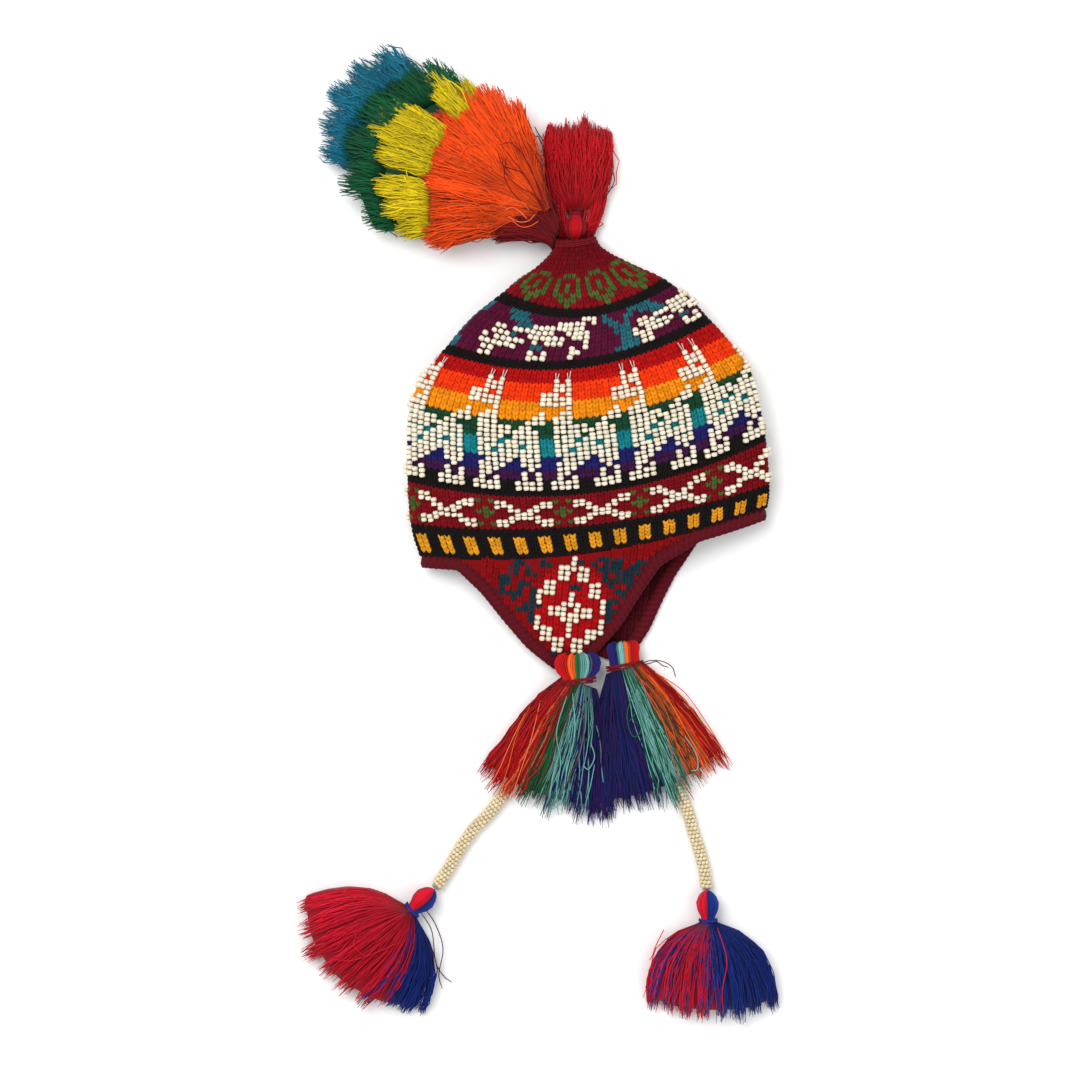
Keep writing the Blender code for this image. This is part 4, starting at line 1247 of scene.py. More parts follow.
def rope_piece(name, route, seed, stands_for):
    """A rope: beads on a helix about its line, one round for each length of a bead, and a core inside."""
    length = np.linalg.norm(np.diff(route, axis=0), axis=1).sum()
    count = int((length - ROPE_STOP) / ROPE_BEAD_LENGTH * ROPE_ROUND)
    line = lifted(smooth_path(route, ROPE_SAMPLES), np.full(ROPE_SAMPLES, ROPE_DIAMETER / 2.0))
    along = unit(np.gradient(line, axis=0))
    side = unit(np.cross(along, [0.0, 0.0, 1.0]))
    at = (np.arange(count) / ROPE_ROUND * ROPE_BEAD_LENGTH + ROPE_START) / length * (ROPE_SAMPLES - 1.0)
    low = np.minimum(at.astype(int), ROPE_SAMPLES - 2)
    part = (at - low)[:, None]
    centre = line[low] * (1 - part) + line[low + 1] * part
    turn = (np.arange(count) * math.tau / ROPE_ROUND)[:, None]
    out = np.cos(turn) * side[low] + np.sin(turn) * np.array([0.0, 0.0, 1.0])
    centres = centre + out * (ROPE_DIAMETER / 2.0 - ROPE_BEAD_RADIUS)
    rng = np.random.default_rng(seed)
    axes = unit(along[low] + rng.normal(0.0, 0.10, (count, 3)))
    radius = ROPE_BEAD_RADIUS * rng.uniform(0.94, 1.04, count)
    bead_length = np.full(count, ROPE_BEAD_LENGTH * 1.02)
    points, faces, each = beads(centres, axes, out, radius, bead_length, FAR_SIDES)
    core = line[::ROPE_CORE_STRIDE]
    core_points, core_faces = tubes(core[None], np.full((1, len(core)), ROPE_DIAMETER * ROPE_CORE_SHARE), 10)
    colours = bead_colours(DYES["pearl"], count, each, rng)
    # painted shade: the thread core, seen only between the beads, is darkened
    core_painted_shade_colours = np.repeat(DYES["thread"][None] * 0.45, len(core_points), 0)
    points, faces = joined([(points, faces), (core_points, core_faces)])
    print(name, count, "beads", "length", length)
    colours = np.concatenate([colours, core_painted_shade_colours])
    mesh_piece(name, points, faces, colours, BEAD, stands_for)


rope_piece("bead_crochet_left", LEFT_ROPE, 31, ("bead_rope_left",))
rope_piece("bead_crochet_right", RIGHT_ROPE, 32, ("bead_rope_right",))

# %% [markdown]
# # Yarn bundles
# A tassel, a pompom and the brush are bundles of yarn tied at a waist. Above the waist is a head, whose
# strands run round it like meridians. Below it the strands fan out, swell over the table and end unevenly.
# A place in the fringe is (across, along, depth): from one side to the other, from the waist to the tips,
# and from the table up to the top. Each strand is a thin tube along such a line, with a wave of its own.
# The near tassel's head starts low and the far one's high, so that the oval of beads shows whole.

# %% Bundles
# A head's rows are: along, share of the width, share of the height.
NEAR_HEAD = np.array(
    [[0.22, 0.62, 0.0], [0.26, 0.80, 0.45], [0.36, 0.92, 0.82], [0.52, 1.0, 1.0], [0.78, 0.92, 0.94]]
)
FAR_HEAD = np.array(
    [[0.08, 0.62, 0.0], [0.12, 0.80, 0.45], [0.24, 0.92, 0.82], [0.45, 1.0, 1.0], [0.78, 0.92, 0.94]]
) - np.array([0.3, 0.0, 0.0])
ROUND_SHARES = np.array([[-0.05, 0.0], [0.0, 0.34], [0.14, 0.74], [0.42, 1.0], [0.70, 0.92], [0.9, 0.66]])
ROUND_HEAD = ROUND_SHARES[:, [0, 1, 1]]
FRINGE = np.array(
    [
        # along, flare, top, drop
        [0.00, 0.00, 0.70, 0.00],
        [0.08, 0.45, 0.80, 0.20],
        [0.20, 0.80, 0.94, 0.55],
        [0.40, 1.00, 1.00, 0.90],
        [0.62, 1.00, 0.92, 1.00],
        [0.82, 0.90, 0.70, 1.00],
        [1.00, 0.70, 0.34, 1.00],
    ]
)
EDGE_THINNESS = 0.35
ROPE_CLEARING = 2.1
ROPE_RISE = 0.7
STRAND = 0.00042
HEAD_STRAND = 0.0006
LOWEST = 0.0006
PIXEL = 0.00068
PICTURE_MIDDLE = 539.5


def away_from(places, line):
    """The flat distance from places to a line of points."""
    a, b = line[:-1], line[1:]
    gap = places[..., None, :2] - a
    part = np.clip((gap * (b - a)).sum(-1) / ((b - a) ** 2).sum(-1), 0.0, 1.0)
    return np.linalg.norm(gap - part[..., None] * (b - a), axis=-1).min(-1)


def fringe_places(bundle, across, along, depth):
    """Places in a bundle's fringe. across is from -1 to 1.

    A place starts across the waist and runs out along the heading, turned by its share of the spread. Its
    height is the depth's share of the way from the fringe's under side to its top, and the under side rises
    over the rope that lies there.
    """
    side = heading(bundle["heading"] - 90.0)
    reach = np.interp((across + 1.0) / 2.0, np.linspace(0.0, 1.0, len(bundle["reach"])), bundle["reach"])
    flare, top, drop = (np.interp(along, FRINGE[:, 0], FRINGE[:, k]) for k in (1, 2, 3))
    way = heading(bundle["heading"] - across * bundle["spread"] / 2.0)
    run = along * bundle["length"] * reach
    flat = bundle["end"] + side * (across * (bundle["waist"] / 2.0 + bundle["flare"] * flare))[..., None]
    flat = flat + way * run[..., None]
    round_waist = np.sqrt(np.clip(1.0 - across**2, 0.0, 1.0)) * bundle["waist_height"] / 2.0
    started = np.clip(along / 0.14, 0.0, 1.0)
    started = started * started * (3.0 - 2.0 * started)
    fullness = (1.0 - np.abs(np.clip(across, -1, 1)) ** 3) * (1.0 - EDGE_THINNESS) + EDGE_THINNESS
    high = bundle["thickness"] * top * fullness * started + (bundle["middle"] + round_waist) * (1.0 - started)
    low_waist = bundle["middle"] - round_waist
    low = np.maximum(low_waist * (1.0 - np.maximum(drop, started)), 0.0)
    if bundle["rope"] is not None:
        away = away_from(flat, bundle["rope"])
        rise = np.clip((ROPE_DIAMETER * ROPE_CLEARING - away) / (ROPE_DIAMETER * ROPE_RISE), 0.0, 1.0)
        low = np.maximum(low, rise * (ROPE_DIAMETER + GAP) * np.clip(along * 6.0, 0.0, 1.0))
    high = np.maximum(high, low + 0.0022)
    height = low + (high - low) * depth
    return lifted(flat, height)


def head_places(bundle, turn, along):
    """Places on a bundle's head and waist, round it and along it from its free end."""
    table = bundle["head"]
    end = np.array([[1.0, bundle["waist"] / bundle["width"], bundle["waist_height"] / bundle["height"]]])
    table = np.concatenate([table, end, end + np.array([[WAIST_LENGTH / bundle["head_length"], 0.0, 0.0]])])
    wide = np.interp(along, table[:, 0], table[:, 1]) * bundle["width"] / 2.0
    high = np.interp(along, table[:, 0], table[:, 2]) * bundle["height"] / 2.0
    ahead = heading(bundle["head_heading"])
    side = heading(bundle["head_heading"] - 90.0)
    start = bundle["tie"] - ahead * (bundle["head_length"] + WAIST_LENGTH / 2.0)
    flat = start + ahead * (along * bundle["head_length"])[..., None] + side * (np.cos(turn) * wide)[..., None]
    return lifted(flat, bundle["middle"] + np.sin(turn) * high)


def zone_colours(across, zones, rng, mixing):
    """A dye for each place across. zones are (end, dye names), and neighbours mix a little."""
    shifted = across + rng.normal(0.0, mixing, across.shape)
    colours = np.zeros(across.shape + (3,))
    low = -9.0
    for end, names in zones:
        pick = rng.integers(0, len(names), across.shape)
        table = np.array([DYES[name] for name in names])
        within = (shifted >= low) & (shifted < end)
        colours = np.where(within[..., None], table[pick], colours)
        low = end
    return colours


def waving(paths, rng, size, waves):
    """Paths with a sideways and an upward wave of their own, sums of two sines that grow along them."""
    count, steps = paths.shape[:2]
    along = np.linspace(0.0, 1.0, steps)
    way = unit(np.gradient(paths, axis=1))
    side = unit(np.cross(way, [0.0, 0.0, 1.0]))
    wave = np.zeros((count, steps))
    rise = np.zeros((count, steps))
    for harmonic in (1.0, 2.3):
        phase = rng.uniform(0.0, math.tau, (count, 2, 1))
        rate = waves * harmonic * rng.uniform(0.7, 1.3, (count, 1))
        grow = size / harmonic * np.minimum(1.0, along * 2.5)
        wave += grow * (np.sin(math.tau * rate * along + phase[:, 0]) - np.sin(phase[:, 0]))
        rise += 0.5 * grow * np.sin(math.tau * rate * along + phase[:, 1])
    paths = paths + side * wave[..., None]
    paths[..., 2] = np.maximum(paths[..., 2] + rise, LOWEST)
    return paths


def strand_colours(colours, steps, sides, rng, fade):
    """Colours for every point of some strands, darker at the root as painted shade, and a little uneven at
    random.
    """
    level = 0.55 + 0.75 * rng.beta(2.2, 2.0, (len(colours), 1, 1))
    # painted shade: the strand darkens towards its root by the share fade
    along = (1.0 - fade) + fade * np.linspace(0.0, 1.0, steps)[None, :, None] ** 0.6
    return (colours[:, None, :] * level * along).repeat(sides, 1).reshape(-1, 3)


def fringe_strands(bundle, count, rng, zones, mixing, radius=STRAND, steps=9):
    """Strands of a fringe with their colours: most lie near the top, and the rest fill its sides.

    Towards the tips each strand is pulled to the middle of its lock, with the square of the way along.
    """
    across = rng.uniform(*bundle["sides"], count)
    depth = 1.0 - 0.75 * rng.random(count) ** 1.8
    locks = bundle["locks"]
    centre = (np.floor((across + 1.0) / 2.0 * locks) + 0.5) / locks * 2.0 - 1.0
    reach = 1.0 - 0.16 * rng.random(count) ** 2.0 + 0.05 * rng.normal(0.0, 1.0, count).clip(-1, 1.6)
    lock = np.clip(((across + 1.0) / 2.0 * locks).astype(int), 0, locks - 1)
    lock_reach = rng.uniform(0.94, 1.03, locks)[lock]
    along = np.linspace(0.0, 1.0, steps)[None, :] * (reach * lock_reach)[:, None]
    pull = 0.38 * along**2
    path_across = across[:, None] * (1.0 - pull) + centre[:, None] * pull
    paths = fringe_places(bundle, path_across, along, np.repeat(depth[:, None], steps, 1))
    own = np.where(rng.random((count, 1)) < 0.12, 2.6, 1.0)
    paths = waving(paths, rng, bundle["wave"] * own, 1.3)
    taper = np.interp(np.linspace(0.0, 1.0, steps), [0.0, 0.9, 1.0], [1.0, 1.0, 0.45])
    radii = radius * rng.uniform(0.8, 1.2, (count, 1)) * taper
    points, faces = tubes(paths, radii, 3)
    colours = zone_colours(-across if bundle["mirrored"] else across, zones, rng, mixing)
    # the last number is how far painted shade darkens the strands towards their roots
    return (points, faces), strand_colours(colours, steps, 3, rng, 0.5)


def fringe_core(bundle, zones, rng, steps=18, columns=36):
    """A closed body under the strands, so that no gap shows through, painted dark as shade between the strands.
    """
    across, along = np.meshgrid(np.linspace(-0.97, 0.97, columns), np.linspace(0.0, 0.89, steps))
    top = fringe_places(bundle, across, along, np.full(across.shape, 0.88))
    low = fringe_places(bundle, across, along, np.full(across.shape, 0.02))
    part = slab(top, low)
    main_dyes = [(end, names[:1]) for end, names in zones]
    flat = zone_colours((-across if bundle["mirrored"] else across).ravel(), main_dyes, rng, 0.0)
    # painted shade: the core is the zones' dye darkened
    return part, np.concatenate([flat, flat]) * 0.42


def head_strands(bundle, count, rng, zones, radius=HEAD_STRAND, steps=12):
    """Strands round a head. Each colour is a rounded loop of its own, with a groove beside it, and its strands
    darken towards the groove as painted shade.
    """
    turn = (np.arange(count) + 0.5) * math.tau / count
    across = np.cos(turn)
    shown = -across if bundle["mirrored"] else across
    ends = np.array([zone[0] for zone in zones])
    starts = np.concatenate([[-1.0], ends[:-1]])
    ends = np.minimum(ends, 1.0)
    which = np.minimum(np.searchsorted(ends, shown, side="right"), len(ends) - 1)
    beside = (shown - (starts + ends)[which] / 2.0) / ((ends - starts)[which] / 2.0)
    begin = bundle["head"][0, 0] + bundle["loop"] * beside**2
    finish = 1.0 + WAIST_LENGTH / bundle["head_length"]
    along = begin[:, None] + (finish - begin)[:, None] * np.linspace(0.0, 1.0, steps) ** 1.25
    paths = head_places(bundle, np.repeat(turn[:, None], steps, 1), along)
    middle = head_places(bundle, np.repeat(turn[:, None], steps, 1) * 0.0 + math.pi / 2.0, along)
    middle[..., 2] = bundle["middle"]
    inward = unit(middle - paths)
    groove = bundle["groove"] * (beside**4)[:, None]
    paths = paths + inward * (radius * 0.8 + groove)[..., None]
    radii = np.full((count, steps), radius)
    points, faces = tubes(paths, radii, 4)
    # painted shade: strands near the groove between colours are darkened
    colours = zone_colours(shown, zones, rng, 0.0) * (1.0 - 0.6 * beside**4)[:, None]
    return (points, faces), strand_colours(colours, steps, 4, rng, 0.0)


def head_core(bundle, zones, rng, steps=14, columns=24):
    """A closed body inside a head, painted dark as shade."""
    turn, along = np.meshgrid(
        np.arange(columns) * math.tau / columns,
        np.linspace(bundle["head"][0, 0] + 0.05, 1.0 + WAIST_LENGTH / bundle["head_length"], steps),
    )
    places = head_places(bundle, turn, along)
    middle = places.mean(1, keepdims=True)
    places = middle + (places - middle) * 0.86
    faces = grid_faces(steps, columns, closed=True)
    points = np.concatenate([places.reshape(-1, 3), middle[0], middle[-1]])
    column = np.arange(columns)
    beside = (column + 1) % columns
    last = (steps - 1) * columns
    first_cap = np.stack([beside, column, np.full(columns, steps * columns)], -1)
    last_cap = np.stack([column + last, beside + last, np.full(columns, steps * columns + 1)], -1)
    groups = [faces, first_cap, last_cap]
    if not faces_out(points, faces, middle.reshape(-1, 3).mean(0)):
        groups = [group[:, ::-1] for group in groups]
    shown = -np.cos(turn) if bundle["mirrored"] else np.cos(turn)
    # painted shade: the core is the head's dyes at half
    colours = zone_colours(np.append(shown.ravel(), [0.0, 0.0]), zones, rng, 0.0) * 0.5
    return (points, groups), colours


def fringe_top(bundle, flat, clearance=0.0012, fall=0.012, samples=61):
    """Heights at which a thread lies on a bundle's fringe, or falls to the table beside it."""
    across, along = np.meshgrid(np.linspace(-1.0, 1.0, samples), np.linspace(0.0, 1.0, samples))
    top = fringe_places(bundle, across, along, np.ones(across.shape)).reshape(-1, 3)
    away = np.linalg.norm(flat[:, None] - top[None, :, :2], axis=-1)
    near = away.argmin(1)
    beside = np.clip(1.0 - (away.min(1) - 0.001) / fall, 0.0, 1.0)
    height = (top[near, 2] + clearance) * beside + LOWEST
    return np.convolve(np.pad(height, 3, mode="edge"), np.ones(7) / 7.0, "valid")


def stray_strands(lines, heights, colours, rng, radius=0.00035, steps=28, bundle=None):
    """Loose threads along listed flat lines, at heights given at their ends or else lying on a fringe."""
    paths, shades = [], []
    for line, ends, colour in zip(lines, heights, colours):
        flat = smooth_path(picture(line), steps)
        rise = np.linspace(*ends, steps) if ends else fringe_top(bundle, flat)
        paths.append(lifted(flat, rise))
        shades.append(DYES[colour])
    paths = np.stack(paths)
    taper = np.interp(np.linspace(0.0, 1.0, steps), [0.0, 0.06, 0.94, 1.0], [0.5, 1.0, 1.0, 0.5])
    part = tubes(paths, np.full((len(paths), 1), radius) * taper, 4)
    return part, strand_colours(np.array(shades), steps, 4, rng, 0.0)


def picture(points):
    """Flat places from pixels of a 1080 square picture of the hat."""
    points = np.asarray(points, float)
    return (points - PICTURE_MIDDLE) * np.array([PIXEL, -PIXEL]) + SHIFT[:2]


def yarn_piece(name, parts, stands_for=()):
    """A mesh of several (points and faces, colours) parts."""
    points, faces = joined([part for part, _ in parts])
    colours = np.concatenate([shades for _, shades in parts])
    mesh_piece(name, points, faces, colours, YARN, stands_for)


def bundle_from(tie, head_heading, **more):
    """The values of a bundle: where it is tied, its headings and spread in degrees, its sizes and the rest."""
    made = {
        "tie": tie,
        "head_heading": head_heading,
        "end": tie + heading(head_heading) * TIE_DIAMETER * 0.4,
        "rope": None,
        "wave": 0.0010,
        "sides": (-1.0, 1.0),
        "loop": 0.0,
        "groove": 0.0,
    }
    made.update(more)
    return made


# %% [markdown]
# # The flap tassels
# Five colours of yarn are laid over each flap's tip, tied, and left to fan out over the bead ropes. From
# the left the near one is red, orange, green, pale teal and purple. The far one is navy first and red last.

# %% Flap tassels
UPPER_BASE = UPPER_FLAP_TIP_HEIGHT + BORDER_THICKNESS / 2.0 + GAP
LOWER_BASE = BORDER_THICKNESS + GAP
TASSEL = {
    "spread": 41.0, "waist_height": 0.0081, "height": 0.009, "flare": 0.004, "thickness": 0.021, "locks": 9,
    "mirrored": True, "loop": 0.16, "groove": 0.0030,
}
UPPER_TASSEL = bundle_from(
    UPPER_TIE, UPPER_TIE_HEADING, heading=250.0, length=0.085, waist=0.023, middle=UPPER_BASE + 0.0045,
    head=NEAR_HEAD, head_length=0.022, width=0.036, reach=(1.04, 1.06, 1.06, 1.05, 1.02), rope=LEFT_ROPE,
    sides=(-1.16, 1.0), **TASSEL,
)
LOWER_TASSEL = bundle_from(
    LOWER_TIE, LOWER_TIE_HEADING, heading=290.5, length=0.090, waist=0.024, middle=LOWER_BASE + 0.0045,
    head=FAR_HEAD, head_length=0.012, width=0.027, reach=(1.00, 1.05, 1.06, 1.07, 1.07), rope=RIGHT_ROPE,
    sides=(-1.0, 1.12), **TASSEL,
)


def yarns(words):
    """The names of yarn dyes, from words in a row."""
    return tuple("yarn_" + word for word in words.split())


# A zone is: how far across it ends, the dyes in it.
UPPER_HEAD_ZONES = (
    (-0.46, yarns("red")),
    (-0.14, yarns("orange")),
    (0.10, yarns("green")),
    (0.56, yarns("pale_teal")),
    (1.01, yarns("purple navy")),
)
UPPER_ZONES = (
    (-0.50, yarns("red")),
    (-0.34, yarns("red red orange salmon")),
    (-0.20, yarns("brown red brown green")),
    (0.10, yarns("green green green brown")),
    (0.50, yarns("pale_teal pale_teal pale_teal navy")),
    (0.76, yarns("navy navy purple pale_teal")),
    (9.0, yarns("purple navy purple")),
)
LOWER_HEAD_ZONES = (
    (-0.34, yarns("navy purple")),
    (0.04, yarns("pale_teal")),
    (0.34, yarns("orange")),
    (1.01, yarns("red")),
)
LOWER_ZONES = (
    (-0.62, yarns("purple navy")),
    (-0.22, yarns("navy navy purple")),
    (-0.06, yarns("navy green pale_teal")),
    (0.34, yarns("pale_teal pale_teal pale_teal green")),
    (0.54, yarns("orange salmon green brown")),
    (0.74, yarns("salmon orange red")),
    (9.0, yarns("red red red orange")),
)


def tassel_piece(name, bundle, zones, head_zones, stands_for, strays, seed, counts, mixing):
    """A bundle's cores and strands as one piece. counts are the strands of its fringe and of its head."""
    rng = np.random.default_rng(seed)
    parts = [
        fringe_core(bundle, zones, rng),
        head_core(bundle, head_zones, rng),
        fringe_strands(bundle, counts[0], rng, zones, mixing),
        head_strands(bundle, counts[1], rng, head_zones),
        stray_strands(*strays, rng, bundle=bundle),
    ]
    yarn_piece(name, parts, stands_for)


UPPER_STRAYS = (
    (
        ((566, 695), (556, 730), (560, 760), (556, 790), (558, 815)),
        ((572, 692), (574, 730), (566, 770), (561, 800), (548, 812)),
        ((596, 725), (600, 745), (601, 765), (603, 783)),
        ((590, 742), (594, 756), (588, 768), (582, 764)),
        ((540, 700), (530, 740), (520, 770), (510, 800)),
        ((530, 705), (516, 735), (508, 765), (498, 795)),
        ((525, 712), (509, 745), (498, 770), (486, 790)),
        ((594, 764), (590, 785), (586, 800), (584, 815)),
        ((578, 700), (583, 720), (580, 745), (572, 770), (562, 790)),
    ),
    (None,) * 9,
    yarns("pale_teal") * 4 + yarns("salmon orange salmon pale_teal brown"),
)
LOWER_STRAYS = (
    (
        ((624, 680), (633, 705), (640, 725), (646, 750), (655, 775)),
        ((640, 678), (660, 700), (672, 730), (680, 760), (692, 785)),
        ((648, 674), (668, 700), (684, 728), (696, 750), (708, 778)),
        ((655, 672), (684, 692), (706, 722), (722, 748), (733, 765)),
        ((632, 690), (626, 715), (632, 735), (640, 728), (636, 712), (628, 720)),
        ((684, 735), (695, 752), (697, 768), (690, 770)),
        ((645, 690), (658, 710), (668, 740), (676, 770), (694, 800)),
    ),
    (None,) * 7,
    yarns("pale_teal salmon") + yarns("orange") * 2 + yarns("green pale_teal salmon"),
)
tassel_piece(
    "near_flap_tassel", UPPER_TASSEL, UPPER_ZONES, UPPER_HEAD_ZONES, ("flap_tassel_upper",),
    UPPER_STRAYS, seed=41, counts=(620, 84), mixing=0.05,
)
tassel_piece(
    "far_flap_tassel", LOWER_TASSEL, LOWER_ZONES, LOWER_HEAD_ZONES, ("flap_tassel_lower",),
    LOWER_STRAYS, seed=42, counts=(620, 72), mixing=0.05,
)

# %% [markdown]
# # The ties
# Each waist is wound three and a half times with yarn, a thin tube on an oval spiral. The ends of the
# tassels' ties lie loose.

# %% Ties
TIE_WRAPS = 3.5
TIE_RADIUS = 0.00055
TIE_PITCH = 0.0030
TIE_CLEARANCE = 0.0006


def winding(bundle, slant):
    """A tube round a waist: the cosine of the turn sideways, the sine upwards, and its pitch ahead."""
    turn = np.linspace(0.0, math.tau * TIE_WRAPS, int(22 * TIE_WRAPS))
    ahead = np.append(heading(bundle["head_heading"]), 0.0)
    side = np.append(heading(bundle["head_heading"] - 90.0), 0.0)
    centre = np.append(bundle["tie"], bundle["middle"])
    forward = (turn / (math.tau * TIE_WRAPS) - 0.5) * TIE_PITCH
    forward = forward + slant * np.cos(turn) + 0.0005 * np.sin(0.37 * turn)
    path = (
        centre
        + side * (np.cos(turn) * (bundle["waist"] / 2.0 + TIE_CLEARANCE))[:, None]
        + ahead * forward[:, None]
        + np.array([0.0, 0.0, 1.0]) * (np.sin(turn) * (bundle["waist_height"] / 2.0 + TIE_CLEARANCE))[:, None]
    )
    path[:, 2] = np.maximum(path[:, 2], TIE_RADIUS)
    return tubes(path[None], np.full((1, len(path)), TIE_RADIUS), 6)


def tie_piece(name, bundle, colour, stands_for, slant=0.0, strays=None):
    """A winding with its loose ends as one piece."""
    rng = np.random.default_rng(60)
    part = winding(bundle, slant)
    colours = np.repeat(DYES[colour][None], len(part[0]), 0) * rng.uniform(0.85, 1.1, (len(part[0]), 1))
    parts = [(part, colours)]
    if strays:
        parts.append(stray_strands(*strays, rng))
    yarn_piece(name, parts, stands_for)


tie_piece(
    "near_tassel_winding", UPPER_TASSEL, "crimson", ("flap_tassel_upper_tie",), 0.0016,
    (
        (((562, 686), (552, 685), (544, 692), (540, 703)), ((566, 688), (556, 690), (549, 688), (545, 694))),
        ((0.016, 0.004), (0.016, 0.010)),
        ("dark_wine", "crimson"),
    ),
)
tie_piece(
    "far_tassel_winding", LOWER_TASSEL, "crimson", ("flap_tassel_lower_tie",), 0.0012,
    (
        (
            ((642, 662), (650, 660), (662, 661), (672, 667), (676, 678)),
            ((642, 664), (648, 663), (656, 661), (662, 665), (668, 667)),
        ),
        ((0.016, 0.003), (0.015, 0.010)),
        ("dark_wine", "dark_wine"),
    ),
)

# %% [markdown]
# # The pompoms
# A round head of two colours sits at the rope's end. Its fringe opens wide from the waist.

# %% Pompoms
POMPOM_HEAD = 0.018
POMPOM_WAIST = 0.011


def pompom_start(rope, at):
    """Where a pompom's head starts: past the rope's end, further with the sine of the bend between them."""
    leaving = unit(rope[-1] - rope[-2])
    turned = math.degrees(math.atan2(leaving[1], leaving[0])) % 360.0
    bend = math.radians(abs(at - turned))
    return rope[-1] + leaving * GAP + heading(at) * (GAP + POMPOM_HEAD * 0.2 * math.sin(bend))


def pompom_bundle(rope, at, spread, length, reach, sides):
    """A pompom's bundle at a rope's end, heading at an angle."""
    tie = pompom_start(rope, at) + heading(at) * (POMPOM_HEAD + WAIST_LENGTH / 2.0)
    return bundle_from(
        tie, at, heading=at, spread=spread, length=length, waist=POMPOM_WAIST, waist_height=POMPOM_WAIST,
        middle=POMPOM_HEAD / 2.0, head=ROUND_HEAD, head_length=POMPOM_HEAD, width=POMPOM_HEAD,
        height=POMPOM_HEAD, flare=0.021, thickness=0.031, locks=8, reach=reach, mirrored=True, sides=sides,
        wave=0.0006, loop=0.03, groove=0.0020,
    )


LEFT_POMPOM = pompom_bundle(
    LEFT_ROPE, at=222.0, spread=72.0, length=0.077, reach=(0.72, 0.86, 0.96, 0.94, 0.83), sides=(-1.10, 0.96)
)
RIGHT_POMPOM = pompom_bundle(
    RIGHT_ROPE, at=272.0, spread=50.0, length=0.062, reach=(1.03, 1.08, 1.06, 1.03, 0.95), sides=(-1.0, 1.0)
)
LEFT_POMPOM_ZONES = (
    (0.36, ("pompom_crimson",)),
    (0.62, ("pompom_crimson", "pompom_crimson", "pompom_navy")),
    (9.0, ("pompom_navy",)),
)
RIGHT_POMPOM_ZONES = (
    (-0.05, ("pompom_crimson", "pompom_crimson", "pompom_crimson", "pompom_crimson", "pompom_navy")),
    (0.10, ("pompom_crimson", "pompom_navy")),
    (9.0, ("pompom_navy",)),
)
LEFT_HEAD_ZONES = ((0.30, ("pompom_crimson",)), (1.01, ("pompom_navy",)))
RIGHT_HEAD_ZONES = ((-0.10, ("pompom_crimson",)), (1.01, ("pompom_navy",)))
LEFT_POMPOM_STRAYS = (
    (
        ((421, 905), (434, 925), (442, 950), (438, 975), (441, 990)),
        ((420, 912), (431, 932), (435, 962), (443, 978), (451, 985)),
        ((330, 955), (350, 956), (375, 948), (398, 938)),
        ((358, 930), (356, 940), (366, 950), (380, 946)),
    ),
    (None,) * 4,
    ("dark_wine", "dark_wine", "pompom_crimson", "pompom_crimson"),
)
RIGHT_POMPOM_STRAYS = (
    (
        ((664, 930), (656, 945), (652, 955), (649, 960)),
        ((712, 925), (708, 950), (712, 980), (706, 1010)),
        ((716, 925), (724, 955), (720, 985), (722, 1010)),
    ),
    (None,) * 3,
    ("pompom_crimson", "pompom_navy", "pompom_crimson"),
)
tassel_piece(
    "left_pompom_yarn", LEFT_POMPOM, LEFT_POMPOM_ZONES, LEFT_HEAD_ZONES, ("pompom_left",),
    LEFT_POMPOM_STRAYS, seed=43, counts=(840, 60), mixing=0.06,
)
tassel_piece(
    "right_pompom_yarn", RIGHT_POMPOM, RIGHT_POMPOM_ZONES, RIGHT_HEAD_ZONES,
    ("pompom_right",), RIGHT_POMPOM_STRAYS, seed=44, counts=(740, 60), mixing=0.05,
)
tie_piece("left_pompom_winding", LEFT_POMPOM, "pompom_navy", ("pompom_left_tie",))
tie_piece("right_pompom_winding", RIGHT_POMPOM, "pompom_navy", ("pompom_right_tie",))

# %% [markdown]
# # The knob and the brush
# On the gathered neck sits a round knob of red yarn, tied, with a brush of red yarn standing above it.

# %% Brush
KNOB_SIZE = 0.016
KNOB_WAIST = 0.009
KNOB_HEADING = 88.0
NECK = crown_place(np.full(32, len(SECTIONS) - 1.0), np.arange(32) / 32.0)[:, :2].mean(0)
FOOT = NECK + heading(KNOB_HEADING) * 2.0 * GAP
BRUSH = bundle_from(
    FOOT + heading(KNOB_HEADING) * (KNOB_SIZE + WAIST_LENGTH / 2.0), KNOB_HEADING, heading=KNOB_HEADING,
    spread=12.0, length=0.062, waist=KNOB_WAIST, waist_height=KNOB_WAIST, middle=KNOB_SIZE / 2.0,
    head=ROUND_HEAD, head_length=KNOB_SIZE, width=KNOB_SIZE, height=KNOB_SIZE, flare=0.015, thickness=0.024,
    locks=8, reach=(1.00, 0.94, 1.02, 0.98, 0.92), mirrored=False,
)
BRUSH_STRAYS = (
    (
        ((552, 262), (560, 256), (574, 258), (586, 254)),
        ((588, 226), (596, 221), (603, 222), (596, 226)),
        ((590, 230), (594, 238), (592, 244), (590, 236)),
        ((543, 140), (538, 132), (535, 126), (534, 124)),
        ((546, 150), (541, 142), (537, 134), (531, 141)),
        ((612, 170), (614, 180), (609, 190), (604, 198)),
    ),
    ((0.019, 0.019), (0.012, 0.003), (0.011, 0.003), (0.010, 0.004), (0.010, 0.004), (0.012, 0.010)),
    ("crimson", "brush_red") + ("dark_wine",) * 4,
)
tassel_piece(
    "brush_yarn", BRUSH, ((9.0, ("brush_red",)),), ((1.01, ("brush_red", "stem_red")),),
    ("crown_tassel",), BRUSH_STRAYS, seed=45, counts=(620, 60), mixing=0.0,
)


